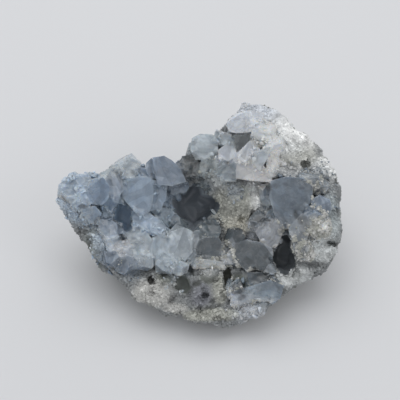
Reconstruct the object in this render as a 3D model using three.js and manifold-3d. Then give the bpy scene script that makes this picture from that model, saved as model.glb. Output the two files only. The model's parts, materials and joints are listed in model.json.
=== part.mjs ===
// A celestite geode fragment: a lump of dolomite host rock, broken open across its hollow, with a
// crust of pale blue celestite crystals grown together on the broken face.
//
// The face is modelled square on, in a frame of its own: X to the right, Y up the face, Z out of it.
// That frame leans back by FACE_LEAN and the rock stands on a small flat spot ground on its rind.
// Millimetres. The exported group has +Z up and its origin under the middle of the whole fragment.
import * as THREE from "three";
import { ConvexGeometry } from "three/addons/geometries/ConvexGeometry.js";
import { ImprovedNoise } from "three/addons/math/ImprovedNoise.js";
import { mergeVertices } from "three/addons/utils/BufferGeometryUtils.js";
import Module from "manifold-3d";

const wasm = await Module();
wasm.setup();

// ---------------------------------------------------------------- driving dimensions
const FACE_LEAN = 40; // degrees that the broken face leans back from level
const REST_DEPTH = 40; // from the face frame's origin straight down to the resting plane
const REST_SINK = 1.4; // how far the rind would dip under that plane before it is ground flat
const REST_CENTRE = [8, 5]; // middle of the resting spot, level with the table

const HUB = [2.5, -1]; // the face is drawn as rays out of this point
const HUB_DEPTH = -10; // how far the middle of the face is hollowed in
const RIM_MEAN = -1; // mean level of the rim, out of the face
const RIM_DIP = 10; // the rim stands out this far at the bottom, and back this far at the top
const SHOULDER = 3.5; // height of the rounded shoulder just inside the rim
const ROCK_DETAIL = 9; // subdivisions of the rock's sphere
const SEAT_GAP = 0.35; // clearance between the rock and the crystals that sit on it
const HEAD = 0.25; // share of a crystal's length above the middle of what shows of it
const GIRTH = 1.22; // the crystals' width and thickness against the tables, so that they grow together
const BEVELLED_FROM = 12; // crystals this wide and more have bevelled edges
const HOLLOW_FLOOR = 0.72; // size of a hollow's floor against its mouth
const HOLLOW_HEADROOM = 12; // how far above the rock's level a hollow is cut free
const SHAFT_HEADROOM = 40; // and how far above it between the crystals
const FLAT_SPREAD = 1.06; // a flat-ended crystal's width against its outline, so that it joins the next
const FLAT_UNEVEN = 1.1; // how far its corners stand above or below its end
const FLAT_SMOOTH = 0.1; // and those of a smooth one
const FLAT_ROOT = 0.8; // share of its width left at its root
const FLAT_LENGTH = 18;

// The rim of the broken face, anticlockwise from the right flank.
const RIM = [
  [70, 4], [67, 18], [62, 28], [56, 36], [48.5, 42], [39, 51.5], [28, 55], [21, 53],
  [13, 44], [4, 37], [-5, 32], [-11, 25], [-20, 21], [-34, 20], [-49, 19.5], [-61, 17.5],
  [-67.5, 13.5], [-69.5, 7.5], [-63, -2.5], [-55, -15], [-44, -27], [-31, -40], [-22.5, -44],
  [-15, -49], [-4, -51], [9, -52.5], [20, -51.5], [31.5, -44.5], [40, -37.5], [49, -32],
  [61, -24.5], [68, -11],
];

// Soft swells of the rock under the crystals: where, how wide, how high.
const SWELLS = [
  { at: [-50, 6], reach: 24, rise: 6 }, // the thick left end
  { at: [33, 36], reach: 26, rise: 8 }, // the high white shoulder at the top
  { at: [20, 4], reach: 17, rise: 9 }, // the bare rock in the middle of the face
  { at: [55, -4], reach: 22, rise: 7 }, // the right flank
  { at: [-4, -38], reach: 24, rise: 5 }, // the sugary front
];

// Hollows: outline of each on the face, and how deep it goes in. The open ones also keep a way out
// between the crystals.
const HOLLOWS = [
  // the big one in the middle
  {
    deep: 20,
    open: true,
    outline: [
      [-14.7, 6.4], [-11.3, 9.3], [-7.3, 9.8], [-4.4, 14.2], [-1.5, 14.7], [1.5, 9.8], [6.4, 7.3],
      [10.3, 4.4], [8.3, 0], [4.4, -3.9], [-0.5, -5.9], [-3.4, -9.3], [-7.8, -4.4], [-12.7, 0.5],
    ],
  },
  // left
  {
    deep: 16,
    open: true,
    outline: [
      [-42.6, 1], [-39.7, 4.9], [-35.3, 2.9], [-33.3, 0.5], [-34.8, -2.9], [-32.8, -7.8],
      [-36.8, -10.3], [-39.2, -5.9], [-43.1, -3.4],
    ],
  },
  // right, running up into a cleft
  {
    deep: 16,
    open: true,
    outline: [
      [41.6, -8.3], [45.1, -12.2], [44.6, -16.7], [47.5, -21.1], [46.5, -26.5], [42.6, -30.4],
      [37.2, -28.4], [35.3, -21.1], [38.7, -16.2],
    ],
  },
  // top
  {
    deep: 10,
    open: true,
    outline: [
      [15.7, 38.2], [25, 39.7], [24, 35.8], [18.1, 30.4],
    ],
  },
  // front
  {
    deep: 7,
    open: false,
    outline: [
      [-11.8, -31.8], [-8.3, -30.4], [-4.9, -32.3], [-4.4, -37.2], [-8.8, -38.7], [-12.2, -36.8],
    ],
  },
  // foot
  {
    deep: 8,
    open: false,
    outline: [
      [10.8, -26.9], [14.7, -26.5], [16.7, -32.3], [14.7, -37.7], [11.3, -36.8],
    ],
  },
];

// Small pits in the bare rock: middle on the face, and width.
const PITS = [
  [-57, 3, 5], [33, 13, 4.5], [56, 11, 7], [-42, -31, 5], [2, -41, 6], [64, -15, 5.5],
  [52, 24, 6], [20, -3, 4], [-24, -33, 6], [46, -29, 5],
];

// ---------------------------------------------------------------- small helpers
const radians = THREE.MathUtils.degToRad;
const noise = new ImprovedNoise();

// A repeatable stream of numbers from 0 to 1.
function stream(seed) {
  let state = seed * 2654435761 + 1013904223;
  return () => {
    state = (state ^ (state << 13)) | 0;
    state = (state ^ (state >>> 17)) | 0;
    state = (state ^ (state << 5)) | 0;
    return (state >>> 0) / 4294967296;
  };
}

const between = (random, low, high) => low + (high - low) * random();

function relief(p, wavelength) {
  return noise.noise(p.x / wavelength + 7.3, p.y / wavelength - 2.1, p.z / wavelength + 4.7);
}

// A closed three.js geometry as a solid, and back.
function solidOf(geometry) {
  const bare = geometry.clone();
  bare.deleteAttribute("normal");
  bare.deleteAttribute("uv");
  const merged = mergeVertices(bare, 1e-4);
  return new wasm.Manifold(
    new wasm.Mesh({
      numProp: 3,
      vertProperties: merged.attributes.position.array,
      triVerts: new Uint32Array(merged.index.array),
    }),
  );
}

function geometryOf(solid) {
  const mesh = solid.getMesh();
  const geometry = new THREE.BufferGeometry();
  geometry.setAttribute("position", new THREE.BufferAttribute(mesh.vertProperties, 3));
  geometry.setIndex(new THREE.BufferAttribute(mesh.triVerts, 1));
  geometry.computeVertexNormals();
  return geometry;
}

// ---------------------------------------------------------------- the host rock
const rimCurve = new THREE.CatmullRomCurve3(
  RIM.map(([x, y]) => new THREE.Vector3(x - HUB[0], y - HUB[1], 0)),
  true,
  "centripetal",
);
const rimPoints = rimCurve
  .getPoints(360)
  .map((p) => ({ turn: Math.atan2(p.y, p.x), reach: Math.hypot(p.x, p.y) }))
  .sort((a, b) => a.turn - b.turn);

// Distance from the hub to the rim in a direction given as an angle.
function rimReach(turn) {
  const next = rimPoints.findIndex((p) => p.turn >= turn);
  const b = rimPoints[next < 0 ? 0 : next];
  const a = rimPoints.at((next < 0 ? 0 : next) - 1);
  const span = (b.turn - a.turn + 2 * Math.PI) % (2 * Math.PI);
  const part = span ? ((turn - a.turn + 2 * Math.PI) % (2 * Math.PI)) / span : 0;
  return THREE.MathUtils.lerp(a.reach, b.reach, part);
}

const rimLevel = (turn) => RIM_MEAN - RIM_DIP * Math.sin(turn);

// Level of the bare rock at a place on the face.
function faceLevel(x, y) {
  const turn = Math.atan2(y - HUB[1], x - HUB[0]);
  const out = Math.min(1, Math.hypot(x - HUB[0], y - HUB[1]) / rimReach(turn));
  const rim = rimLevel(turn) + SHOULDER;
  let level = THREE.MathUtils.lerp(HUB_DEPTH, rim, out ** 2.2) - SHOULDER * out ** 10;
  for (const { at, reach, rise } of SWELLS) {
    const d = Math.hypot(x - at[0], y - at[1]) / reach;
    if (d < 1) level += rise * (1 - d * d) ** 2 * (1 - out ** 6);
  }
  return level;
}

const lean = new THREE.Matrix4().makeRotationX(radians(FACE_LEAN));
const unlean = lean.clone().invert();

// The rock's skin in a direction from its middle: the face on one side, the rind on the other.
function rockSkin(direction) {
  const turn = Math.atan2(direction.y, direction.x);
  const polar = Math.acos(THREE.MathUtils.clamp(direction.z, -1, 1));
  const reach = rimReach(turn);
  const out = Math.min(1, Math.sin(polar));
  if (polar <= Math.PI / 2) {
    const x = HUB[0] + reach * out * Math.cos(turn);
    const y = HUB[1] + reach * out * Math.sin(turn);
    return new THREE.Vector3(x, y, faceLevel(x, y));
  }
  // The rind is a bowl in the level frame, from the rim down to the resting spot.
  const rim = new THREE.Vector3(
    HUB[0] + reach * Math.cos(turn), HUB[1] + reach * Math.sin(turn), rimLevel(turn),
  ).applyMatrix4(lean);
  const drop = polar - Math.PI / 2;
  const inward = Math.cos(drop) ** 0.7;
  const x = REST_CENTRE[0] + (rim.x - REST_CENTRE[0]) * inward;
  const y = REST_CENTRE[1] + (rim.y - REST_CENTRE[1]) * inward;
  const height = rim.z + REST_DEPTH + REST_SINK;
  const bulge = rim.y > 0 ? 0.28 * rim.y * Math.sin(2 * drop) : 0;
  const z = -REST_DEPTH - REST_SINK + height * (1 - Math.sin(drop));
  return new THREE.Vector3(x, y + bulge, z).applyMatrix4(unlean);
}

// An irregular closed blob with flat faces, to be taken away from the rock or the crystals.
function facetedBlob([x, y, z], size, seed) {
  const random = stream(seed);
  const ball = new THREE.IcosahedronGeometry(0.5, 0).deleteAttribute("normal").deleteAttribute("uv");
  const { position } = mergeVertices(ball, 1e-3).attributes;
  const corners = Array.from({ length: position.count }, (_, i) =>
    new THREE.Vector3()
      .fromBufferAttribute(position, i)
      .multiply(new THREE.Vector3(...size))
      .multiplyScalar(between(random, 0.82, 1.15))
      .add(new THREE.Vector3(x, y, z)),
  );
  return solidOf(new ConvexGeometry(corners));
}

const centreOf = (outline) =>
  outline.reduce((sum, [x, y]) => [sum[0] + x / outline.length, sum[1] + y / outline.length], [0, 0]);

// The space of a hollow: a straight way out above the rock's level, and below it a shaft that narrows
// towards a flat floor.
function hollowSolid(outline, deep, headroom) {
  const middle = centreOf(outline);
  const level = faceLevel(...middle);
  const shape = new THREE.Shape(outline.map(([x, y]) => new THREE.Vector2(x, y)));
  const shaft = (height, foot) => {
    const geometry = new THREE.ExtrudeGeometry(shape, { depth: height, bevelEnabled: false });
    const { position } = geometry.attributes;
    for (let i = 0; i < position.count; i++) {
      if (position.getZ(i) > 0) continue;
      const [x, y] = [position.getX(i) - middle[0], position.getY(i) - middle[1]];
      position.setXY(i, middle[0] + foot * x, middle[1] + foot * y);
    }
    return geometry;
  };
  const below = solidOf(shaft(deep, HOLLOW_FLOOR).translate(0, 0, level - deep));
  return below.add(solidOf(shaft(headroom, 1).translate(0, 0, level)));
}

// Broad lumps, then smaller knobs, pushed out along the skin's own normals.
function roughen(geometry) {
  geometry.computeVertexNormals();
  const { position, normal } = geometry.attributes;
  const p = new THREE.Vector3();
  const n = new THREE.Vector3();
  for (let i = 0; i < position.count; i++) {
    p.fromBufferAttribute(position, i);
    n.fromBufferAttribute(normal, i);
    const lumps = 3.2 * relief(p, 21) + 2.2 * relief(p, 10);
    const ledges = 1.6 * (0.5 - Math.abs(relief(p, 15)));
    p.addScaledVector(n, lumps + ledges);
    position.setXYZ(i, p.x, p.y, p.z);
  }
}

// The block of space under the resting plane, which grinds the spot that the fragment stands on.
function belowTheTable() {
  const size = 300;
  const block = new THREE.BoxGeometry(size, size, size);
  block.translate(0, 0, -REST_DEPTH - size / 2);
  return solidOf(block.applyMatrix4(unlean));
}

function hostRock() {
  const sphere = new THREE.IcosahedronGeometry(1, ROCK_DETAIL);
  sphere.deleteAttribute("normal");
  sphere.deleteAttribute("uv");
  const skin = mergeVertices(sphere, 1e-4);
  const { position } = skin.attributes;
  for (let i = 0; i < position.count; i++) {
    const p = rockSkin(new THREE.Vector3().fromBufferAttribute(position, i).normalize());
    position.setXYZ(i, p.x, p.y, p.z);
  }
  roughen(skin);
  let rock = solidOf(skin).subtract(belowTheTable());
  for (const { outline, deep } of HOLLOWS) {
    rock = rock.subtract(hollowSolid(outline, deep, HOLLOW_HEADROOM));
  }
  PITS.forEach(([x, y, wide], i) => {
    rock = rock.subtract(facetedBlob([x, y, faceLevel(x, y)], [wide, wide, 2 * wide], 30 + i));
  });
  return rock;
}

// ---------------------------------------------------------------- the crystals
// Corners of the convex solid that a set of planes shuts in.
function cornersOf(planes) {
  const corners = [];
  const point = new THREE.Vector3();
  for (let i = 0; i < planes.length; i++)
    for (let j = i + 1; j < planes.length; j++)
      for (let k = j + 1; k < planes.length; k++) {
        const [a, b, c] = [planes[i], planes[j], planes[k]];
        const bc = new THREE.Vector3().crossVectors(b.normal, c.normal);
        const volume = a.normal.dot(bc);
        if (Math.abs(volume) < 1e-6) continue;
        point
          .copy(bc).multiplyScalar(a.far)
          .addScaledVector(new THREE.Vector3().crossVectors(c.normal, a.normal), b.far)
          .addScaledVector(new THREE.Vector3().crossVectors(a.normal, b.normal), c.far)
          .divideScalar(volume);
        const inside = planes.every((q) => q.normal.dot(point) <= q.far + 1e-6);
        const known = corners.some((q) => q.distanceTo(point) < 1e-2);
        if (inside && !known) corners.push(point.clone());
      }
  return corners;
}

// A celestite crystal: a six-sided prism shut by a roof of two domes, with its ridge at the origin and
// its body down -Z. The wide ones have their corners cut and a flat top. Growth is never even, so each
// face's tilt and distance vary a little.
function crystalPlanes(size, random) {
  const [width, thick, length] = [GIRTH * size[0], GIRTH * size[1], size[2]];
  const planes = [];
  const add = (x, y, z, far) => {
    const wobble = () => between(random, -0.07, 0.07);
    const normal = new THREE.Vector3(x + wobble(), y + wobble(), z + wobble()).normalize();
    planes.push({ normal, far: far * between(random, 0.9, 1.1) });
  };
  for (let i = 0; i < 6; i++) {
    const turn = radians(60 * i + between(random, -8, 8));
    add(Math.cos(turn), Math.sin(turn), 0, Math.hypot(width * Math.cos(turn), thick * Math.sin(turn)) / 2);
  }
  const ridge = between(random, 0.08, 0.24) * width;
  for (const side of [-1, 1]) {
    const steep = radians(between(random, 30, 50));
    const blunt = radians(between(random, 34, 52));
    add(0, side * Math.sin(steep), Math.cos(steep), 0.01);
    add(side * Math.sin(blunt), 0, Math.cos(blunt), ridge * Math.sin(blunt));
  }
  if (size[0] >= BEVELLED_FROM) {
    const turn = radians(between(random, 30, 60) * (random() < 0.5 ? -1 : 1));
    add(0.72 * Math.cos(turn), 0.72 * Math.sin(turn), 0.69, 0.1 * width);
    add(0, 0, 1, -0.1 * thick);
  }
  planes.push({ normal: new THREE.Vector3(0, 0, -1), far: length });
  return planes;
}

// A crystal set in the face. `at` is the middle of what shows of it: its place on the face and how
// far it stands off the bare rock. It leans from the face's normal by `lean`, in the direction
// `toward` (0 to the right, 90 up the face), and is turned by `spin` about its own length.
function crystal({ at, size, lean: tilt, toward, spin, seed }) {
  const corners = cornersOf(crystalPlanes(size, stream(seed)));
  const along = new THREE.Vector3(
    Math.sin(radians(tilt)) * Math.cos(radians(toward)),
    Math.sin(radians(tilt)) * Math.sin(radians(toward)),
    Math.cos(radians(tilt)),
  );
  const across = new THREE.Vector3(-Math.sin(radians(toward)), Math.cos(radians(toward)), 0);
  const through = new THREE.Vector3().crossVectors(along, across);
  const tip = new THREE.Vector3(at[0], at[1], faceLevel(at[0], at[1]) + at[2]);
  tip.addScaledVector(along, HEAD * size[2]);
  const place = new THREE.Matrix4()
    .makeBasis(across, through, along)
    .setPosition(tip)
    .multiply(new THREE.Matrix4().makeRotationZ(radians(spin)));
  return solidOf(new ConvexGeometry(corners.map((c) => c.applyMatrix4(place))));
}

// A crystal that shows a broad flat end. `outline` is that end on the face, `stands`
// how far its middle stands off the bare rock, and `tilt` its rise per mm to the right and up the face.
// A smooth one ends in a single face, the others in several that differ a little.
function flatCrystal({ outline, stands, tilt, seed, smooth = false }) {
  const random = stream(seed);
  const middle = centreOf(outline);
  const top = faceLevel(...middle) + stands;
  const uneven = smooth ? FLAT_SMOOTH : FLAT_UNEVEN;
  const corners = outline.flatMap(([x, y]) => {
    const dx = FLAT_SPREAD * (x - middle[0]);
    const dy = FLAT_SPREAD * (y - middle[1]);
    const rise = top + tilt[0] * dx + tilt[1] * dy + uneven * between(random, -1, 1);
    return [
      new THREE.Vector3(middle[0] + dx, middle[1] + dy, rise),
      new THREE.Vector3(middle[0] + FLAT_ROOT * dx, middle[1] + FLAT_ROOT * dy, rise - FLAT_LENGTH),
    ];
  });
  return solidOf(new ConvexGeometry(corners));
}

// The broad flat-ended crystals, group by group.
const LEFT_END_FLATS = [
  // the pale tip
  {
    stands: 3,
    tilt: [0.22, -0.05],
    outline: [
      [-69.1, 13.7], [-62.7, 18.1], [-54.4, 19.6], [-52.9, 13.2], [-54.9, 6.4], [-63.7, 4.9],
      [-69.6, 8.3],
    ],
  },
  // the deep blue one
  {
    stands: 5.5,
    tilt: [0.1, 0.14],
    smooth: true,
    outline: [
      [-52.9, 16.2], [-47, 17.1], [-44.1, 13.2], [-44.1, 7.3], [-48, 3.9], [-53.4, 4.9], [-54.9, 10.8],
    ],
  },
  // the striped column
  {
    stands: 4.5,
    tilt: [-0.06, -0.2],
    outline: [
      [-48.5, 19.6], [-43.1, 21.6], [-38.7, 21.1], [-37.7, 11.3], [-40.2, 5.4], [-44.6, 7.3],
      [-48, 13.2],
    ],
  },
  // the little block under them
  {
    stands: 2.5,
    tilt: [0.16, 0.2],
    outline: [
      [-56.8, 2.5], [-51, 3.4], [-48, 0], [-50.5, -6.4], [-54.9, -6.4], [-58.3, -1.5],
    ],
  },
];
const UPPER_LEFT_FLATS = [
  // the big smooth one
  {
    stands: 7,
    tilt: [0.06, 0.03],
    smooth: true,
    outline: [
      [-37.7, 15.7], [-29.9, 17.6], [-24, 16.7], [-23, 8.8], [-24.5, 1.5], [-29.4, -1.5], [-33.8, 2.9],
      [-37.7, 7.8],
    ],
  },
  // the chisel
  {
    stands: 6.5,
    tilt: [-0.12, -0.22],
    smooth: true,
    outline: [
      [-23, 26.9], [-17.6, 27.9], [-14.2, 26], [-9.3, 21.1], [-7.3, 15.7], [-13.7, 13.7], [-20.6, 14.2],
      [-22.1, 20.1],
    ],
  },
  // the chisel's side
  {
    stands: 4.5,
    tilt: [0.4, -0.1],
    outline: [
      [-26.5, 24.5], [-24, 26.9], [-21.1, 23.5], [-20.6, 17.1], [-27.4, 17.1],
    ],
  },
  // the grey-green one
  {
    stands: 5.5,
    tilt: [-0.2, 0.08],
    outline: [
      [-24, 16.2], [-16.2, 14.2], [-17.1, 6.4], [-19.6, 1.5], [-24.5, 1.5],
    ],
  },
  // the dark block by the hollow
  {
    stands: 3.5,
    tilt: [-0.1, 0.28],
    outline: [
      [-24.5, 1.5], [-17.1, 2.5], [-10.8, 0], [-11.8, -5.4], [-16.7, -6.4], [-21.6, -2],
    ],
  },
  // the small dark one
  {
    stands: 2,
    tilt: [-0.3, 0.1],
    outline: [
      [-11.8, -1.5], [-6.9, -2.5], [-4.4, -6.4], [-5.9, -8.8], [-10.3, -6.9],
    ],
  },
];
const PALE_FRONT_FLATS = [
  // its top left
  {
    stands: 6.5,
    tilt: [0.05, -0.2],
    outline: [
      [-32.8, -2], [-25.5, 0], [-21.1, -2.5], [-17.1, -6.4], [-19.6, -10.8], [-28.4, -10.3],
      [-32.8, -7.3],
    ],
  },
  // left
  {
    stands: 6.5,
    tilt: [0.26, 0.06],
    outline: [
      [-32.8, -11.8], [-26.5, -9.3], [-23, -13.2], [-23, -24], [-27.9, -26], [-32.8, -19.1],
    ],
  },
  // middle
  {
    stands: 7.5,
    tilt: [-0.05, 0.12],
    outline: [
      [-23, -12.2], [-18.6, -10.3], [-14.7, -12.2], [-14.7, -25], [-22.5, -25.5],
    ],
  },
  // the whitest
  {
    stands: 8,
    tilt: [-0.14, -0.06],
    outline: [
      [-16.2, -10.3], [-11.8, -5.9], [-7.8, -7.3], [-3.9, -9.3], [-3.9, -19.1], [-7.8, -24],
      [-13.7, -24], [-16.2, -18.1],
    ],
  },
  // the rounded foot
  {
    stands: 5.5,
    tilt: [0.0, 0.3],
    outline: [
      [-16.2, -24], [-9.8, -23], [-5.4, -25], [-6.4, -28.9], [-10.8, -30.9], [-14.7, -27.9],
    ],
  },
  // the steep one beside the smoky crystals
  {
    stands: 4.5,
    tilt: [-0.35, 0.0],
    outline: [
      [-4.9, -11.3], [-1, -10.3], [0, -14.2], [-2, -21.1], [-3.4, -26.5], [-6.4, -24],
    ],
  },
];
const SMOKY_FLATS = [
  // the upper one
  {
    stands: 4,
    tilt: [0.05, -0.24],
    outline: [
      [1.5, -4.4], [5.9, -2.9], [9.3, -4.4], [10.3, -9.3], [8.3, -12.7], [2, -12.7], [-0.5, -8.8],
    ],
  },
  // the slate one
  {
    stands: 4.5,
    tilt: [-0.1, 0.1],
    smooth: true,
    outline: [
      [-0.5, -13.2], [2.9, -12.2], [8.8, -12.2], [11.8, -17.1], [12.2, -22.1], [9.3, -24], [3.4, -23.5],
      [-1.5, -22.1], [-2, -17.1],
    ],
  },
  // the pale sill under it
  {
    stands: 3,
    tilt: [0.0, 0.4],
    outline: [
      [-2, -22.1], [3.9, -23], [10.8, -24], [12.7, -26.9], [7.3, -28.9], [1.5, -30.9], [-3.4, -26.9],
    ],
  },
  // the big one
  {
    stands: 6,
    tilt: [0.06, 0.05],
    smooth: true,
    outline: [
      [17.1, -15.2], [23, -13.2], [30.4, -14.7], [34.8, -17.6], [35.3, -21.6], [30.9, -27.9],
      [23.5, -28.9], [18.6, -24.5], [15.7, -19.1],
    ],
  },
  // the light chip
  {
    stands: 5,
    tilt: [-0.4, -0.3],
    outline: [
      [30.4, -28.4], [33.3, -24.5], [36.8, -24.5], [37.2, -28.9],
    ],
  },
  // the step under it
  {
    stands: 3.5,
    tilt: [0.05, 0.35],
    outline: [
      [23, -28.9], [36.3, -28.9], [34.8, -33.3], [28.4, -35.8], [24, -34.8],
    ],
  },
];
const RIGHT_FLATS = [
  // the big blue-grey one
  {
    stands: 8,
    tilt: [-0.02, 0.08],
    smooth: true,
    outline: [
      [34.8, 15.2], [41.6, 17.1], [49, 16.7], [54.4, 12.7], [53.9, 6.4], [49.5, -1.5], [42.1, -6.9],
      [36.8, -1], [34.3, 7.3],
    ],
  },
  // the fan
  {
    stands: 5.5,
    tilt: [-0.1, 0.26],
    outline: [
      [27.4, -9.3], [31.4, -4.4], [37.2, -4.4], [41.2, -8.3], [37.7, -16.7], [33.8, -17.1],
      [30.4, -14.7],
    ],
  },
  // the grey one
  {
    stands: 5,
    tilt: [-0.2, 0.05],
    outline: [
      [43.1, -7.3], [49, -0.5], [53.4, 0.5], [54.9, -4.4], [51, -9.3], [50, -16.7], [46.5, -19.6],
      [44.1, -13.7],
    ],
  },
  // the clear one
  {
    stands: 4,
    tilt: [-0.25, -0.1],
    outline: [
      [53.9, 6.4], [58.3, 8.8], [63.2, 6.4], [63.7, 2], [58.8, -2], [53.9, 1],
    ],
  },
];
const UPPER_FLATS = [
  // the clear blue one
  {
    stands: 5,
    tilt: [-0.05, -0.2],
    outline: [
      [-3.9, 36.8], [0, 39.2], [5.9, 38.7], [8.8, 34.8], [8.3, 29.9], [2.9, 26.5], [-2, 26.5],
      [-4.4, 30.9],
    ],
  },
  // the lavender five-sided one
  {
    stands: 6,
    tilt: [0.02, 0.1],
    smooth: true,
    outline: [
      [8.8, 30.9], [13.2, 33.8], [17.6, 30.9], [17.6, 27.9], [14.2, 25.5], [9.3, 26.9],
    ],
  },
  // the grey-green one behind
  {
    stands: 3.5,
    tilt: [-0.25, 0.1],
    outline: [
      [10.3, 38.7], [15.7, 38.7], [19.1, 31.8], [17.6, 29.4], [12.7, 32.3], [10.3, 34.3],
    ],
  },
  // the shell-like lobe
  {
    stands: 4.5,
    tilt: [-0.12, -0.28],
    outline: [
      [13.2, 44.1], [17.1, 48.5], [23.5, 50.5], [30.9, 49], [30.9, 43.6], [25.5, 39.7], [18.1, 39.2],
      [14.2, 40.2],
    ],
  },
  // the one with the straight lower edge
  {
    stands: 7.5,
    tilt: [0.0, 0.22],
    smooth: true,
    outline: [
      [18.1, 24.5], [25.5, 26], [30.9, 22.5], [34.8, 20.1], [34.8, 15.2], [18.1, 16.7],
    ],
  },
  // the lavender wedge
  {
    stands: 6.5,
    tilt: [0.3, 0.1],
    outline: [
      [26, 29.9], [33.8, 31.8], [32.3, 25.5], [28.9, 20.1], [26, 25],
    ],
  },
  // the white one above it
  {
    stands: 5.5,
    tilt: [-0.2, -0.2],
    outline: [
      [19.1, 29.9], [24.5, 35.3], [30.9, 35.8], [27.9, 28.9], [22.5, 24.5], [18.6, 26],
    ],
  },
  // the white band
  {
    stands: 5,
    tilt: [-0.3, 0.15],
    outline: [
      [32.8, 27.9], [38.7, 29.4], [39.2, 23], [35.8, 17.6], [32.3, 21.1],
    ],
  },
  // the grey facets
  {
    stands: 4.5,
    tilt: [-0.15, 0.2],
    outline: [
      [1, 26.9], [6.4, 27.4], [9.3, 23.5], [7.8, 17.6], [2, 18.6], [-0.5, 23],
    ],
  },
  // the grey block
  {
    stands: 3.5,
    tilt: [0.15, -0.1],
    outline: [
      [8.8, 23.5], [14.7, 24.5], [18.1, 21.1], [17.6, 15.7], [10.8, 15.7], [7.8, 19.1],
    ],
  },
  // the brownish one
  {
    stands: 3,
    tilt: [-0.1, -0.3],
    outline: [
      [-8.8, 27.9], [-3.9, 28.9], [-0.5, 24.5], [-1.5, 18.6], [-6.9, 18.1], [-9.3, 23],
    ],
  },
  // the dark one on the hollow's wall
  {
    stands: 0.5,
    tilt: [-0.3, 0.2],
    outline: [
      [-3.4, 16.2], [1.5, 17.6], [6.9, 15.7], [6.4, 8.8], [1.5, 7.3], [-1.5, 11.3],
    ],
  },
];
const SEAM_FLATS = [
  // the blue block
  {
    stands: 3,
    tilt: [0.05, 0.42],
    outline: [
      [15.2, -38.2], [24.5, -35.3], [33.3, -32.3], [39.2, -34.8], [38.2, -41.2], [31.4, -45.6],
      [23.5, -49], [15.7, -49.5],
    ],
  },
];

// The pointed crystals that give the face its look, group by group.
const LEFT_END = [
  { at: [-65, 10.5, 1.5], size: [11, 10, 10], lean: 36, toward: 200, spin: 20 },
  { at: [-58, 5, 1], size: [10, 9, 17], lean: 25, toward: 230, spin: 75 },
  { at: [-42.5, 6, 1], size: [10, 9, 17], lean: 12, toward: 320, spin: 60 },
  { at: [-46, -9.5, 1.5], size: [10, 9, 16], lean: 24, toward: 215, spin: 15 },
];
const UPPER_LEFT = [
  { at: [-37, 25, 3.5], size: [12, 10, 10], lean: 40, toward: 92, spin: 40 },
  { at: [-43, 20.5, 1], size: [8, 7, 9], lean: 35, toward: 120, spin: 70 },
  { at: [-29.5, 20.5, 2], size: [9, 8, 10], lean: 38, toward: 75, spin: 10 },
  { at: [-29, 0, 3], size: [10, 8, 18], lean: 22, toward: 310, spin: 75 },
  { at: [-10.5, 15, 1.5], size: [9, 9, 13], lean: 26, toward: 50, spin: 30 },
  { at: [-9.5, -6, 1.5], size: [10, 8, 17], lean: 28, toward: 330, spin: 80 },
];
const PALE_FRONT = [
  { at: [-34, -11, 3], size: [9, 8, 17], lean: 28, toward: 195, spin: 20 },
  { at: [-20.5, -8.5, 4.5], size: [9, 8, 20], lean: 14, toward: 240, spin: 15 },
  { at: [-16.5, -25.5, 4], size: [10, 8, 20], lean: 28, toward: 262, spin: 10 },
  { at: [-28, -24.5, 2.5], size: [9, 7, 17], lean: 28, toward: 240, spin: 40 },
];
const LOWER_LEFT = [
  { at: [-44, -15, 1], size: [12, 8, 16], lean: 20, toward: 160, spin: 60 },
  { at: [-36.5, -18, 1.5], size: [10, 8, 16], lean: 14, toward: 60, spin: 20 },
  { at: [-43, -23, 0.5], size: [9, 8, 15], lean: 28, toward: 225, spin: 35 },
  { at: [-35, -26, 0.5], size: [10, 9, 16], lean: 24, toward: 260, spin: 75 },
];
const SMOKY = [
  { at: [-1.5, -10, 2], size: [9, 7, 18], lean: 22, toward: 95, spin: 5 },
  { at: [17, -11.5, 1.5], size: [9, 8, 17], lean: 20, toward: 120, spin: 45 },
  { at: [15.5, -24, 1], size: [8, 8, 18], lean: 26, toward: 215, spin: 60 },
];
const RIGHT = [
  { at: [33, 9, 2], size: [9, 8, 18], lean: 24, toward: 170, spin: 20 },
  { at: [38.5, -3.5, 2.5], size: [10, 9, 18], lean: 12, toward: 200, spin: 25 },
  { at: [54, 16, 2.5], size: [9, 8, 18], lean: 22, toward: 60, spin: 30 },
  { at: [28, -4, 2], size: [9, 8, 17], lean: 18, toward: 190, spin: 60 },
  { at: [52, -19, 2], size: [9, 8, 17], lean: 28, toward: 330, spin: 65 },
  { at: [55.5, -1, 2.5], size: [8, 7, 17], lean: 16, toward: 60, spin: 5 },
  { at: [58, -7, 3.5], size: [8, 9, 17], lean: 14, toward: 250, spin: 10 },
  { at: [60, 13, 1.5], size: [8, 7, 11], lean: 24, toward: 30, spin: 50 },
];
const UPPER = [
  { at: [-5, 30.5, 1], size: [8, 7, 9], lean: 36, toward: 140, spin: 30 },
  { at: [-8, 20.5, 1], size: [9, 8, 17], lean: 20, toward: 70, spin: 30 },
  { at: [12.5, 38, 1], size: [9, 8, 10], lean: 34, toward: 80, spin: 10 },
  { at: [9.5, 26.5, 2], size: [8, 7, 18], lean: 20, toward: 280, spin: 30 },
  { at: [0, 20, 1], size: [8, 7, 17], lean: 24, toward: 250, spin: 15 },
  { at: [19, 25, 3], size: [8, 8, 18], lean: 24, toward: 200, spin: 30 },
  { at: [31.5, 40, 2], size: [12, 9, 16], lean: 18, toward: 60, spin: 20 },
  { at: [36, 33, 1.5], size: [9, 9, 18], lean: 24, toward: 20, spin: 85 },
];
const SEAM = [
  { at: [16.5, -39.5, 1], size: [8, 7, 12], lean: 36, toward: 250, spin: 20 },
  { at: [35.5, -37.5, 1.5], size: [8, 7, 12], lean: 38, toward: 300, spin: 30 },
];

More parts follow.
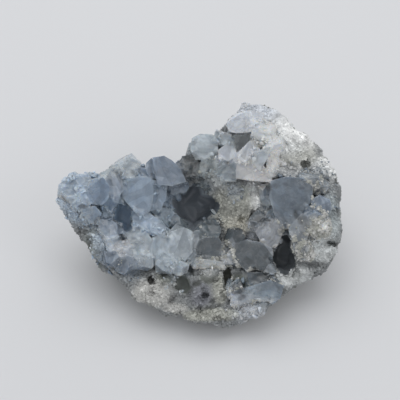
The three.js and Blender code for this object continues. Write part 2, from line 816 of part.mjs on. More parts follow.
// The rock with its skin moved out by the seat's clearance.
function grown(solid) {
  const geometry = geometryOf(solid);
  const { position, normal } = geometry.attributes;
  const p = new THREE.Vector3();
  const n = new THREE.Vector3();
  for (let i = 0; i < position.count; i++) {
    p.fromBufferAttribute(position, i);
    n.fromBufferAttribute(normal, i);
    p.addScaledVector(n, SEAT_GAP);
    position.setXYZ(i, p.x, p.y, p.z);
  }
  return solidOf(geometry);
}

// The biggest of a solid's separate bodies. Cutting leaves a few crumbs of crystal behind.
function biggestBody(solid) {
  const whole = geometryOf(solid);
  const corners = whole.index.array;
  const parent = Array.from({ length: whole.attributes.position.count }, (_, i) => i);
  const rootOf = (i) => {
    while (parent[i] !== i) i = parent[i];
    return i;
  };
  for (let i = 0; i < corners.length; i += 3) {
    parent[rootOf(corners[i + 1])] = rootOf(corners[i]);
    parent[rootOf(corners[i + 2])] = rootOf(corners[i]);
  }
  const bodies = new Map();
  for (let i = 0; i < corners.length; i += 3) {
    const root = rootOf(corners[i]);
    if (!bodies.has(root)) bodies.set(root, []);
    bodies.get(root).push(corners[i], corners[i + 1], corners[i + 2]);
  }
  const body = new THREE.BufferGeometry();
  body.setAttribute("position", whole.attributes.position);
  body.setIndex([...bodies.values()].reduce((a, b) => (b.length > a.length ? b : a)));
  return solidOf(body);
}

// All the crystals, grown together into one crust that is open over each hollow.
function crystalCrust(rock) {
  const pointed = [LEFT_END, UPPER_LEFT, PALE_FRONT, LOWER_LEFT, SMOKY, RIGHT, UPPER, SEAM].flat();
  const flats = [
    LEFT_END_FLATS, UPPER_LEFT_FLATS, PALE_FRONT_FLATS, SMOKY_FLATS, RIGHT_FLATS, UPPER_FLATS, SEAM_FLATS,
  ].flat();
  const crystals = [
    ...pointed.map((row, i) => crystal({ ...row, seed: i + 1 })),
    ...flats.map((row, i) => flatCrystal({ ...row, seed: 100 + i })),
  ];
  let crust = crystals.reduce((a, b) => a.add(b));
  for (const { outline, deep } of HOLLOWS.filter((hollow) => hollow.open)) {
    crust = crust.subtract(hollowSolid(outline, deep, SHAFT_HEADROOM));
  }
  return biggestBody(crust.subtract(grown(rock)));
}

// ---------------------------------------------------------------- the fragment
function named(name, solid, finish) {
  const mesh = new THREE.Mesh(geometryOf(solid), new THREE.MeshStandardMaterial(finish));
  mesh.name = name;
  return mesh;
}

const rock = hostRock();
const face = new THREE.Group();
face.rotation.x = radians(FACE_LEAN);
face.add(named("host_rock", rock, { color: 0xa9a79f, roughness: 0.95, metalness: 0 }));
face.add(named("celestite_crust", crystalCrust(rock), { color: 0x9fb0c2, roughness: 0.2, metalness: 0 }));

// The origin goes under the middle of the whole fragment, level with the table.
const fragment = new THREE.Group();
fragment.add(face);
const extent = new THREE.Box3().setFromObject(fragment, true);
const middle = extent.getCenter(new THREE.Vector3());
face.position.set(-middle.x, -middle.y, -extent.min.z);
export default fragment;
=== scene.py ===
"""A celestite geode fragment: sugary dolomite host rock with a crust of grown-together celestite
crystals on its broken face, and the small crystals and grains that cover both.

Lengths are millimetres in the tables and metres in the meshes. "On the face" means the frame that the
broken face is laid out in: X to the right, Y up the face, Z out of it, leaning back by LEAN.
"""

import itertools
import json
import math
from types import SimpleNamespace

import bmesh
import bpy
import numpy as np
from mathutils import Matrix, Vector, kdtree

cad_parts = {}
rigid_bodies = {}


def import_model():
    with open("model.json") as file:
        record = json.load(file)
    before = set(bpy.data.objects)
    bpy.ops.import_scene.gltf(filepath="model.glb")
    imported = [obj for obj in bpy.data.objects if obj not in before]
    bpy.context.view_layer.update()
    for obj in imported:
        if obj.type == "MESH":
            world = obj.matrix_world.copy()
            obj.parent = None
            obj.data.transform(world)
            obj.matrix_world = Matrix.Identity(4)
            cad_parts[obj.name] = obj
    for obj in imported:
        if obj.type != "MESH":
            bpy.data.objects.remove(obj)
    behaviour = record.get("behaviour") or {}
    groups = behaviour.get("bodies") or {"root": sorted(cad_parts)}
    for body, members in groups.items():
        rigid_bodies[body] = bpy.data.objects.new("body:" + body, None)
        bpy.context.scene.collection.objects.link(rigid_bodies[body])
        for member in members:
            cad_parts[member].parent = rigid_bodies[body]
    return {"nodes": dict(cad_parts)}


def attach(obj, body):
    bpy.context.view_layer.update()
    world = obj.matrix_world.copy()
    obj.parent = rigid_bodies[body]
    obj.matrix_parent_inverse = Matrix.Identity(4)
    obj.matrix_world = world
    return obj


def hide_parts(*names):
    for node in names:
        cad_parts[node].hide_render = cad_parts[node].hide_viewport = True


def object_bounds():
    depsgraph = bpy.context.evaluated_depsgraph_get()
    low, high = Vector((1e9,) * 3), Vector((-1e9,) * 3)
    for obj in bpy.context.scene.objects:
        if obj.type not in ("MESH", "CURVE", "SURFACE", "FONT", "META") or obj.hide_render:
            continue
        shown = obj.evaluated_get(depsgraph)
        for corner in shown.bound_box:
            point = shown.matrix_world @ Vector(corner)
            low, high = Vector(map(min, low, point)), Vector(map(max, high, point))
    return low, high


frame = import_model()
CAD_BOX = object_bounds()

MM = 0.001
LEAN = math.radians(40)
FACE_ORIGIN = np.array([0.546, -5.026, 40.0])  # of the face's own frame, in mm
FACE_NORMAL = np.array([0.0, -math.sin(LEAN), math.cos(LEAN)])

ROCK_VOXEL = 0.7  # mesh size of the rock's skin
CRYSTAL_EDGE = 1.1  # longest edge of the crystals' mesh
WELD = 2e-6  # metres within which corners of the solids' loose triangles are one corner
FLAT_ANGLE = 1.2  # degrees up to which two triangles lie in one facet
RIDGE_ANGLE = 14  # degrees from which two facets meet in a real edge
SLIVER = 1e-11  # square metres, counted twice, under which a triangle's direction means nothing
TINY = 1e-20  # keeps a division by a length or an area of nothing harmless
HALF_TURN = 3.1416  # radians that a small crystal may be turned either way

# Relief in mm: how high or deep each thing stands.
GRAIN_RISE, FINE_GRAIN_RISE = 0.55, 0.35
PIT_DEPTH, CREVICE_DEPTH = 1.3, 2.2
HEAD_RISE, FROSTED_HEAD_LESS = 2.4, 1.3
WALL_FACET_RISE, WALL_FACET_SINK = 4.5, 1.8
CREASE_FILL = 1.6  # how far the creases between crystals are grown over
LATH_SHIFT = 37.0  # the most that a facet's laths are shifted along and across it

# How steeply a zone or a streak fades with distance, and how steeply the small crystals around it do:
# the exponent at one reach from its middle.
ZONE_FADE, DRUSE_FADE = 1.6, 1.2

# The noises' sizes in mm, and seeds. The rock's:
BROAD_KNOBS, SMALL_KNOBS, PITS = (7, 3), (3.4, 5), (4.5, 9)
COARSE_GRAINS, FINE_GRAINS = (2.6, 11), (1.3, 23)
SMALL_HEADS, WALL_FACETS = (3.4, 91), (9.0, 95)
RIND_PATCHES, MOTTLE, BROAD_MOTTLE, GRAIN_CLUMPS = (9, 31), (3.0, 41), (6.5, 33), (5, 51)
CREVICE_EDGE = (1.6, 61)
# And the crystals':
FACET_HILLS, ROUGH_HEADS, CHIPS = (2.6, 71), (2.2, 97), (2.4, 93)
EDGE_FROST, FROST_PATCHES, FINE_FROST = (3, 81), (3.5, 83), (1.5, 85)
SEAM_GAPS, DUST_PATCHES, DUST_KINDS = (5, 99), (4, 87), (1.0, 89)
# Streaks are stretched: width, length along the growth, depth into the crystal, and seed.
FINE_STREAK, BROAD_STREAK = (1.1, 8, 5, 200), (2.6, 14, 9, 220)


# ---------------- colours
def linear(code):
    """An sRGB hex colour as the linear RGBA that the shaders take."""
    srgb = [int(code[i : i + 2], 16) / 255 for i in (1, 3, 5)]
    return tuple(c / 12.92 if c <= 0.04045 else ((c + 0.055) / 1.055) ** 2.4 for c in srgb) + (1.0,)


ICE = "#bcccdd"
MILK = "#b9c5cf"
PALE = "#bfc9d1"
BLUE = "#90a4ba"
STEEL = "#9fafc0"
DUSK = "#97a5b1"
INDIGO = "#8f9cac"
NIGHT = "#8895a4"
SLATE_BLUE = "#818e9b"
SMOKE = "#6f797f"
COAL = "#687076"
SAGE = "#b3bcc0"
HAZE = "#9ea5ab"
CLEAR = "#b5bfc6"
LAVENDER = "#e4e9f1"
PEARL = "#d4d9e0"
WHITE = "#e9edee"
# Whiter than any of these crystals: painted light on facets that turn away from the lamp.
PAINTED_LIGHT_WHITE = "#fbfcfd"
RIME = "#cddbea"
UMBER = "#5f6467"

TAN = "#a8a9a2"
SAND = "#ebe8dc"
GRIT = "#c2c2bf"
VIOLET = "#7c7e85"
CHALK = "#d0d3d3"
FROST = "#f2f3f2"
ASH = "#8f9293"
MIST = "#b6bec0"
LICHEN = "#8d918c"
MOSS = "#72766f"

MILKY_CRACK = "#dfe5ea"
FROSTING = "#eef0f0"
CELESTITE_DEPTH = "#9db4cc"
CELESTITE_IOR = 1.622
CELESTITE_GLOW = (1.0, 1.1, 1.25)  # how far red, green and blue light run inside it, beside each other
TABLE_PAINT = "#d3d4d6"
SKY = "#f2f3f5"

# Where the celestite is which colour: place on the face, how far that reaches, colour, how frosted
# its faces are, how thickly small crystals have grown there, and how thickly dolomite dusts it.
CELESTITE_ZONES = [
    (-67, 7, 6, RIME, 0.35, 0, 0),
    (-61, 12, 6, ICE, 0.12, 0, 0),
    (-56, 18, 6, ICE, 0.25, 0.5, 0),
    (-49, 10.5, 6, BLUE, 0.12, 0.05, 0),
    (-43, 14, 5, INDIGO, 0.12, 0.1, 0),
    (-45, 21, 5, SAGE, 0.3, 0.3, 0),
    (-53, -1.5, 5, STEEL, 0.2, 0.3, 0),
    (-60, 2, 6, ICE, 0.2, 0.1, 0),
    # NIGHT here is partly the crystal's colour, partly painted shade at the left hollow's lower edge.
    (-46, -6, 4.5, NIGHT, 0.1, 0.3, 0),
    (-37, 26, 6, PALE, 0.3, 0, 0),
    (-30, 9, 8, STEEL, 0.05, 0, 0),
    (-28, 0, 5, STEEL, 0.05, 0, 0),
    (-16, 21, 7, NIGHT, 0.03, 0, 0),
    (-24, 22, 4, NIGHT, 0.02, 0, 0),
    (-20, 8, 5.5, STEEL, 0.05, 0, 0),
    (-17, -1.5, 5, DUSK, 0.05, 0.05, 0),
    (-12, 10, 5, NIGHT, 0.1, 0.5, 0),
    (-8, -5, 4, SMOKE, 0.05, 0.1, 0),
    (-25, -5.5, 5, ICE, 0.1, 0, 0),
    (-28, -17, 6, PALE, 0.2, 0, 0),
    (-19, -17, 5, MILK, 0.1, 0, 0),
    (-10, -15, 6, PALE, 0.12, 0, 0),
    (-10.5, -26.5, 5, MILK, 0.25, 0.05, 0),
    (-3, -18, 3, HAZE, 0.05, 0, 0),
    (-46, -13, 6, RIME, 0.4, 0.35, 0),
    (-44.5, -21.5, 4.5, NIGHT, 0.08, 0.35, 0),
    (-38, -17, 4, PEARL, 0.4, 0.1, 0),
    (-40.5, -9, 3.5, NIGHT, 0.1, 0.1, 0),
    (-34, -26, 5, NIGHT, 0.1, 0.4, 0.05),
    (5.5, -8, 5, SMOKE, 0.05, 0, 0.05),
    (5, -18, 5, COAL, 0.06, 0, 0.12),
    (4.5, -26, 4, WHITE, 0.5, 0.2, 0.3),
    (25.5, -20.5, 8, COAL, 0.06, 0.05, 0.12),
    (34.5, -27.5, 1.8, HAZE, 0.05, 0, 0),
    (29.5, -32.5, 5, UMBER, 0.03, 0, 0.06),
    (29.5, -3.5, 3, COAL, 0.03, 0, 0),
    (25.5, -11.5, 3, PEARL, 0.15, 0.2, 0.2),
    (13.5, -19, 3, PEARL, 0.5, 0.3, 0.8),
    (44, 7, 9, SLATE_BLUE, 0.07, 0.06, 0),
    (34, -10.5, 6, PEARL, 0.15, 0.15, 0.1),
    (49, -9, 6, HAZE, 0.15, 0.25, 0.2),
    (33, 4, 3, PALE, 0.12, 0, 0.05),
    (58.5, 4, 5, NIGHT, 0.1, 0.2, 0.1),
    (57, -10, 6, WHITE, 0.5, 0.5, 0.5),
    (57, 16, 7, HAZE, 0.3, 0.5, 0.15),
    (2, 33, 6, CLEAR, 0.1, 0, 0),
    (13.5, 29, 4.5, LAVENDER, 0.02, 0, 0),
    (14.5, 34, 4, PALE, 0.05, 0, 0),
    (22, 44, 8, PEARL, 0.3, 0.1, 0),
    # This row and the one at (36, 24) paint light on facets that face away from the lamp.
    (27, 21, 7, PAINTED_LIGHT_WHITE, 0.2, 0, 0),
    (29.5, 26.5, 4.5, PALE, 0.12, 0, 0),
    (24, 30, 5, PEARL, 0.25, 0.05, 0),
    (36, 24, 4, PAINTED_LIGHT_WHITE, 0.6, 0.3, 0),
    (33, 36, 8, WHITE, 0.4, 0.15, 0),
    (17, 11, 4, HAZE, 0.12, 0.4, 0.2),
    (4.5, 23, 5, SAGE, 0.15, 0.2, 0.05),
    (13, 20, 4.5, PALE, 0.15, 0.1, 0),
    (-5, 23.5, 5, UMBER, 0.1, 0.3, 0.04),
    (2, 13, 4, SMOKE, 0.05, 0, 0),
    (27.5, -39, 7, DUSK, 0.2, 0.6, 0.08),
    (24, -46, 7, PEARL, 0.5, 0.4, 0.1),
]

# What the bare rock looks like: place on the face, reach across and up, colour, share of fine
# tan and of fine white grains on it.
ROCK_ZONES = [
    (16, 3, 12, 12, TAN, 1, 0.6),  # the bare middle
    (30, 5, 5.5, 8, FROST, 0.3, 0.4),
    # Paler, to paint light into the shadow under the straight-edged crystal.
    (28, 12, 6, 3, CHALK, 0.6, 0.4),
    (20, 11, 6, 4, LICHEN, 0.7, 0.3),
    (10, 17, 5, 4, CHALK, 0.8, 0.5),
    # SAND is paler than the tan rock, to paint light into the shade there.
    (19, -6, 9, 6, SAND, 1, 0.7),
    (13.5, -19, 3.5, 9, FROST, 1, 0.9),  # the vein between the smoky crystals
    (10, -37, 5, 8, TAN, 1, 0.7),
    (-23, -39, 11, 8, GRIT, 0.8, 0.6),
    (-12, -46, 7, 3, GRIT, 0.8, 0.7),  # the sugary front
    (-8, -37, 8, 7, ASH, 0.6, 0.4),
    (0, -39, 7, 7, VIOLET, 0.5, 0.4),
    (4, -31, 5, 4, MOSS, 0.5, 0.2),
    (6, -49, 18, 3.5, TAN, 0.8, 0.9),
    (19, -35, 5, 6, MOSS, 0.3, 0.2),
    (-17, -31, 5, 3.5, MOSS, 0.6, 0.3),
    (46, 38, 14, 18, FROST, 0, 0.25),  # the frosted top
    (30, 50, 14, 8, PEARL, 0, 0.2),
    (44, 27, 7, 4, TAN, 0.5, 0.5),
    (47, 32, 6, 4, CHALK, 0.5, 0.4),
    # FROST here paints light into the shade in the cavity behind the big blue-grey crystal.
    (44, 20, 12, 3.5, FROST, 0.3, 0.5),
    (51, 28, 8, 7, TAN, 0.8, 0.4),
    (61, 20, 7, 10, FROST, 0.2, 0.7),
    (58, -2, 12, 18, MIST, 0.4, 0.4),  # the right flank
    (60, -19, 8, 6, CHALK, 0.6, 0.5),
    (57, -10, 8, 5, FROST, 0.6, 0.7),
    (46, -31, 11, 6, CHALK, 0.2, 0.9),
    (-2, 24, 8, 6, UMBER, 0.4, 0.2),
    (-52, -18, 7, 12, LICHEN, 0.5, 0.3),  # the rind at the left
    (-50, 8, 22, 14, ICE, 0, 0),  # the left wing, under its crystals
    (-22, 8, 18, 14, STEEL, 0, 0),
    (-28, -14, 20, 10, ICE, 0, 0),
    (-44, -18, 9, 8, MILK, 0, 0.4),
]

# The rock away from those zones, and the rind on its back: colour, share of tan and of white grains.
BARE_ROCK = (ASH, 0.5, 0.6)
RIND = (LICHEN, 0.35, 0.35)

# Hollows: level of the rock's face there, depth below it, colour of the walls, and outline on the face.
# The walls' colour is painted shade, set hollow by hollow: dark grey in some, pale to near white in others,
# where it lightens the shade that falls in them.
HOLLOWS = [
    (-9.8, 23, "#9299a1", [  # middle
        (-14.7, 6.4), (-11.3, 9.3), (-7.3, 9.8), (-4.4, 14.2), (-1.5, 14.7), (1.5, 9.8), (6.4, 7.3),
        (10.3, 4.4), (8.3, 0), (4.4, -3.9), (-0.5, -5.9), (-3.4, -9.3), (-7.8, -4.4), (-12.7, 0.5),
    ]),
    (-3.5, 19, "#d0deec", [  # left
        (-42.6, 1), (-39.7, 4.9), (-35.3, 2.9), (-33.3, 0.5), (-34.8, -2.9), (-32.8, -7.8),
        (-36.8, -10.3), (-39.2, -5.9), (-43.1, -3.4),
    ]),
    (-1.8, 19, "#80858a", [  # right
        (41.6, -8.3), (45.1, -12.2), (44.6, -16.7), (47.5, -21.1), (46.5, -26.5), (42.6, -30.4),
        (37.2, -28.4), (35.3, -21.1), (38.7, -16.2),
    ]),
    (-4.2, 13, "#fbfeff", [(15.7, 38.2), (25, 39.7), (24, 35.8), (18.1, 30.4)]),  # top
    (3.6, 10, "#a3a8a4", [  # front
        (-11.8, -31.8), (-8.3, -30.4), (-4.9, -32.3), (-4.4, -37.2), (-8.8, -38.7), (-12.2, -36.8),
    ]),
    (-1.7, 11, "#8f8f88", [  # foot
        (10.8, -26.9), (14.7, -26.5), (16.7, -32.3), (14.7, -37.7), (11.3, -36.8),
    ]),
]

# Crevices and small pits, sunk into the rock and darkened with painted shade, on the rock and on the crystals
# at those places:
# place on the face, size across and up, turn in degrees, how dark the painted shade is.
CREVICES = [
    (-5.5, -28, 6, 5, 0, 0.6),
    (-10, -34, 9, 5, 20, 0.35),
    (2, -38, 3, 8, 35, 0.35),
    (-17, -30, 8, 3, -30, 0.5),
    (-1, -34, 5, 4, 0, 0.8),
    (6, -45.5, 9, 3, 10, 0.5),
    (8.5, -29.5, 4, 3, 0, 0.7),
    (18, -30, 5, 3, 10, 0.5),
    (6, -43, 4, 3, 40, 0.45),
    (57, 11, 8, 3, -35, 0.6),
    (47.5, -2, 2.5, 7, 25, 0.6),
    (33.5, 12.5, 2.5, 4, 20, 0.6),
    (-57, 3.2, 4.5, 2.5, -15, 0.6),
    (-50, -3, 2, 4.5, -40, 0.5),
    (29.5, -3.5, 6, 4, 0, 0.5),
    (6, 1.5, 4, 4, 0, 0.6),
    (18.5, -36, 8, 6, 20, 0.75),
    (4, -32, 7, 5, -10, 0.6),
    (36.8, 13.2, 5, 2.5, 0, 0.3),
    (41.7, 14.2, 2.5, 2, 0, 0.35),
    (49.5, 12.3, 3, 2, 0, 0.35),
    (23, 2, 3, 5, 0, 0.3),
    (62, -15, 5, 4, 0, 0.4),
    (-31, -29, 5, 2.5, -30, 0.5),
    (20, -40.5, 5, 3.5, 20, 0.5),
]

# Where parallel growth shows as fine streaks: place on the face, how far that reaches, and the way
# they run in degrees from the face's X.
STREAKS = [
    (-60, 10, 8, 60),
    (-43, 12, 12, 97),
    (-42, -14, 12, 150),
    (-24, 4, 12, 100),
    (-22, -15, 11, 80),
    (30, 26, 9, 52),
    (33, 44, 14, 35),
    (50, 36, 12, -50),
    (34, -10, 9, 105),
    (27, -40, 10, 18),
    (44, 5, 9, 80),
    (5, -18, 6, 88),
    (25, -20, 8, 60),
]


# ---------------- points, noise and zones
def turned(x, y, angle):
    """Places as they lie on axes turned by that angle."""
    c, s = math.cos(angle), math.sin(angle)
    return c * x + s * y, c * y - s * x


def on_face(points):
    """Points in metres as millimetres on the face."""
    p = points / MM - FACE_ORIGIN
    return np.stack([p[:, 0], *turned(p[:, 1], p[:, 2], LEAN)], axis=1)


def off_face(points):
    """Millimetres on the face as points in metres."""
    q = np.asarray(points, float)
    return (np.stack([q[:, 0], *turned(q[:, 1], q[:, 2], -LEAN)], axis=1) + FACE_ORIGIN) * MM


def far(at, x, y, across, up):
    """How far from one place others on the face lie, squared, in reaches across and up."""
    return ((at[:, 0] - x) / across) ** 2 + ((at[:, 1] - y) / up) ** 2


def hashed(cell, seed):
    """A repeatable number from 0 to 1 for each whole-number cell."""
    x, y, z = (cell[..., k] for k in range(3))
    h = x * 73856093 ^ y * 19349663 ^ z * 83492791 ^ seed * 2654435761  # large primes scatter the cells
    for _ in range(2):
        h = ((h ^ (h >> 15)) * 0x2C1B3C6D) & 0xFFFFFFFF
    return ((h ^ (h >> 13)) & 0xFFFFFF) / 0xFFFFFF


def lumps(points, size, seed):
    """Smooth noise from -1 to 1, with lumps of that size in the points' own unit."""
    q = points / size
    cell = np.floor(q).astype(np.int64)
    f = q - cell
    f = f * f * (3 - 2 * f)
    total = 0
    for corner in itertools.product((0, 1), repeat=3):
        total = total + np.prod(np.where(corner, f, 1 - f), axis=1) * hashed(cell + corner, seed)
    return 2 * total - 1


def cells_around(points, size):
    """The points in units of that size, with each of the 27 cells around them in turn."""
    q = points / size
    cell = np.floor(q).astype(np.int64)
    for step in itertools.product((-1, 0, 1), repeat=3):
        yield q, cell + step


def grains(points, size, seed):
    """Packed grains: for each point how far inside its grain it lies, as a share of the size, and a
    number from 0 to 1 that is the grain's own."""
    nearest, second, own = np.full(len(points), 9.0), np.full(len(points), 9.0), np.zeros(len(points))
    for q, near in cells_around(points, size):
        middle = near + np.stack([hashed(near, seed + k) for k in range(3)], axis=1)
        d = np.linalg.norm(q - middle, axis=1)
        closer = d < nearest
        second = np.where(closer, nearest, np.minimum(second, d))
        own = np.where(closer, hashed(near, seed + 7), own)
        nearest = np.where(closer, d, nearest)
    return second - nearest, own


def crystal_heads(points, size, seed):
    """Packed crystal heads of that size: how high the highest one stands at each point, as a share of the
    size, and a number from 0 to 1 that is its own. A head is a corner of a box turned at random."""
    height, own = np.full(len(points), -9.0), np.zeros(len(points))
    for q, near in cells_around(points, size):
        luck = np.stack([hashed(near, seed + k) for k in range(9)], axis=1)
        off = q - near - luck[:, :3]
        first = luck[:, 3:6] - 0.5
        first /= np.linalg.norm(first, axis=1)[:, None] + 1e-9
        second = np.cross(first, luck[:, 6:9] - 0.5)
        second /= np.linalg.norm(second, axis=1)[:, None] + 1e-9
        third = np.cross(first, second)
        reach = np.max([np.abs((off * way).sum(1)) for way in (first, second, third)], axis=0)
        stands = 0.45 + 0.25 * luck[:, 3] - reach
        own = np.where(stands > height, luck[:, 8], own)
        height = np.maximum(height, stands)
    return height, own


def streaks(at):
    """The streaks' light and dark, from -1 to 1, at places on the face."""
    total = np.zeros(len(at))
    for i, (x, y, reach, way) in enumerate(STREAKS):
        share = np.exp(-ZONE_FADE * far(at, x, y, reach, reach))
        along, across = turned(at[:, 0], at[:, 1], math.radians(way))
        fine, broad = (
            lumps(np.stack([across / width, along / length, at[:, 2] / deep], axis=1), 1, seed + i)
            for width, length, deep, seed in (FINE_STREAK, BROAD_STREAK)
        )
        total += share * (0.6 * fine + 0.6 * broad)
    return total


def smooth(low, high, x):
    """0 up to `low`, 1 from `high` on, and an easy slope between them. `low` may be the higher one."""
    t = np.clip((x - low) / (high - low), 0, 1)
    return t * t * (3 - 2 * t)


def row_values(colour, *shares):
    """A zone's colour and its shares as one row of numbers."""
    return [*linear(colour)[:3], *shares]


def zone_mix(zones, at, placing):
    """What a zone table gives at places on the face, as the mean of its rows, each weighted by how near
    it is. The first `placing` numbers of a row are its place and its reach, or its reach across and up."""
    weights, values = [], []
    for row in zones:
        d2 = far(at, *row[:3], row[placing - 1])
        weights.append((np.exp(-ZONE_FADE * d2) + 1e-7 / (1 + d2)) ** 1.5)
        values.append(row_values(*row[placing:]))
    weights = np.array(weights)
    return (weights / weights.sum(0)).T @ np.array(values), weights.max(0)


def off_outline(at, outline):
    """How far in mm places lie outside an outline on the face, and less than 0 inside it."""
    corners = np.array(outline, float)
    nearest = np.full(len(at), 1e9)
    inside = np.zeros(len(at), bool)
    for a, b in zip(corners, np.roll(corners, -1, axis=0)):
        way, off = b - a, at[:, :2] - a
        along = np.clip(off @ way / (way @ way), 0, 1)
        nearest = np.minimum(nearest, np.linalg.norm(off - along[:, None] * way, axis=1))
        if a[1] != b[1]:
            inside ^= ((a[1] > at[:, 1]) != (b[1] > at[:, 1])) & (off[:, 0] < off[:, 1] * way[0] / way[1])
    return np.where(inside, -nearest, nearest)


def hollow_share(at):
    """0 on the open face to 1 on the walls of a hollow, and the colour of those walls, which is painted
    shade. The walls start at the outline and 2.5 mm below the level, and end 3 mm below the depth."""
    share = np.zeros(len(at))
    colour = np.ones((len(at), 3))
    for level, deep, wall, outline in HOLLOWS:
        here = smooth(0.5, -0.1, off_outline(at, outline)) * smooth(level, level - 2.5, at[:, 2])
        here *= smooth(level - deep - 3, level - deep, at[:, 2])
        colour = np.where((here > share)[:, None], np.array(linear(wall)[:3]), colour)
        share = np.maximum(share, here)
    return share, colour


def crevice_depth_and_shade(at):
    """0 away from the crevices to their own darkness in the middle of each: how far the rock sinks there, and
    the shade painted there on the rock and the crystals.
    """
    dark = np.zeros(len(at))
    for x, y, across, up, turn, how in CREVICES:
        dx, dy = turned(at[:, 0] - x, at[:, 1] - y, math.radians(turn))
        d = np.hypot(dx / (across / 2), dy / (up / 2)) + 0.35 * lumps(at, *CREVICE_EDGE)
        dark = np.maximum(dark, how * smooth(1.3, 0.5, d))
    return dark


# ---------------- meshes
def object_of(name, data):
    piece = bpy.data.objects.new(name, data)
    bpy.context.scene.collection.objects.link(piece)
    return piece


def settled(piece):
    """The piece's mesh with its modifiers worked in, and the modifiers gone."""
    evaluated = piece.evaluated_get(bpy.context.evaluated_depsgraph_get())
    mesh = bpy.data.meshes.new_from_object(evaluated)
    piece.modifiers.clear()
    piece.data = mesh
    return mesh


def solid_copy(node, name):
    """A copy of a solid's mesh, with its loose triangles merged."""
    mesh = frame["nodes"][node].data.copy()
    mesh.name = name
    mesh.materials.clear()
    shell = bmesh.new()
    shell.from_mesh(mesh)
    bmesh.ops.remove_doubles(shell, verts=shell.verts[:], dist=WELD)
    bmesh.ops.triangulate(shell, faces=shell.faces[:])
    shell.to_mesh(mesh)
    shell.free()
    return mesh


def vectors_of(items, name):
    """One row of three numbers for each of the items."""
    values = np.empty(3 * len(items), np.float32)
    items.foreach_get(name, values)
    return values.reshape(-1, 3).astype(float)


def points_of(mesh):
    return vectors_of(mesh.vertices, "co")


def normals_of(mesh):
    return vectors_of(mesh.vertex_normals, "vector")


def set_points(mesh, points):
    """Moves the vertices, and keeps them inside the solids' own box."""
    mesh.vertices.foreach_set("co", np.clip(points, *np.array(CAD_BOX)).astype(np.float32).ravel())
    mesh.update()


def keep(mesh, name, values):
    """Keeps a number or a colour for each vertex, for the shaders and for what grows on the mesh."""
    colour = values.ndim == 2
    layer = mesh.attributes.new(name, "FLOAT_COLOR" if colour else "FLOAT", "POINT")
    if colour:
        values = np.concatenate([values[:, :3], np.ones((len(values), 1))], axis=1)
    layer.data.foreach_set("color" if colour else "value", values.astype(np.float32).ravel())


# ---------------- shader and geometry node helpers
def wired(tree, kind, settings=(), **links):
    """Adds a node. Its settings are given by name, or as the name of its operation alone. Its inputs are
    given by socket name or number: a value, the output that feeds it, or the node whose first output
    does. Underscores in a name stand for spaces, and s3 means socket 3."""
    node = tree.nodes.new(kind)
    if isinstance(settings, str):
        settings = {"operation": settings}
    for name, value in dict(settings).items():
        setattr(node, name, value)
    for name, value in links.items():
        key = int(name[1:]) if name[0] == "s" and name[1:].isdigit() else name.replace("_", " ")
        if isinstance(value, bpy.types.Node):
            value = value.outputs[0]
        if isinstance(value, bpy.types.NodeSocket):
            tree.links.new(value, node.inputs[key])
        else:
            node.inputs[key].default_value = value
    return node


def blank_material(name):
    material = bpy.data.materials.new(name)
    material.use_nodes = True
    material.node_tree.nodes.clear()
    return material, material.node_tree


def toned(tree, colour, tone):
    """The colour, darker or lighter by a tone: a grey of that tone times the colour."""
    grey = wired(tree, "ShaderNodeCombineColor", s0=tone, s1=tone, s2=tone)
    multiply = {"data_type": "RGBA", "blend_type": "MULTIPLY"}
    return wired(tree, "ShaderNodeMix", multiply, s0=1.0, s6=colour, s7=grey).outputs[2]


def toned_by_lot(tree, name, darkest, lightest):
    """The colour that a mesh keeps under that name, darker or lighter crystal by crystal."""
    own = wired(tree, "ShaderNodeAttribute", {"attribute_name": name}).outputs["Color"]
    lot = wired(tree, "ShaderNodeAttribute", {"attribute_name": "lot"}).outputs["Fac"]
    return toned(tree, own, wired(tree, "ShaderNodeMapRange", Value=lot, To_Min=darkest, To_Max=lightest))


# ---------------- materials
def sugary_dolomite():
    """Dolomite as it grew, with its crystal grains open: dull, pale, and rough under the fingers."""
    material, tree = blank_material("dolomite_sugary_rock")
    place = wired(tree, "ShaderNodeTexCoord").outputs["Object"]
    stone = wired(tree, "ShaderNodeAttribute", {"attribute_name": "stone"}).outputs["Color"]
    gloss = wired(tree, "ShaderNodeAttribute", {"attribute_name": "gloss"}).outputs["Fac"]
    blotch = wired(tree, "ShaderNodeTexNoise", Vector=place, Scale=1 / (2.4 * MM), Detail=5.0)
    fine = wired(tree, "ShaderNodeTexNoise", Vector=place, Scale=1 / (0.5 * MM), Detail=2.0)
    grain = wired(tree, "ShaderNodeTexVoronoi", Vector=place, Scale=1 / (0.9 * MM))
    light = wired(
        tree, "ShaderNodeMapRange", Value=blotch, From_Min=0.3, From_Max=0.7, To_Min=0.86, To_Max=1.1
    )
    gaps = wired(tree, "ShaderNodeMapRange", Value=grain, From_Max=0.8, To_Min=1.08, To_Max=0.8)
    tone = wired(tree, "ShaderNodeMath", "MULTIPLY", s0=light, s1=gaps)
    even = wired(tree, "ShaderNodeMix", s0=gloss, s2=tone, s3=1.0)
    height = wired(tree, "ShaderNodeMath", "ADD", s0=grain, s1=fine)
    strength = wired(tree, "ShaderNodeMapRange", Value=gloss, To_Min=0.75, To_Max=0.12)
    bump = wired(
        tree, "ShaderNodeBump", {"invert": True}, Strength=strength, Distance=0.4 * MM, Height=height
    )
    roughness = wired(tree, "ShaderNodeMapRange", Value=gloss, To_Min=0.8, To_Max=0.28)
    shader = wired(
        tree, "ShaderNodeBsdfPrincipled", Base_Color=toned(tree, stone, even), Roughness=roughness,
        Normal=bump, IOR=1.5,
    )
    wired(tree, "ShaderNodeOutputMaterial", Surface=shader)
    return material


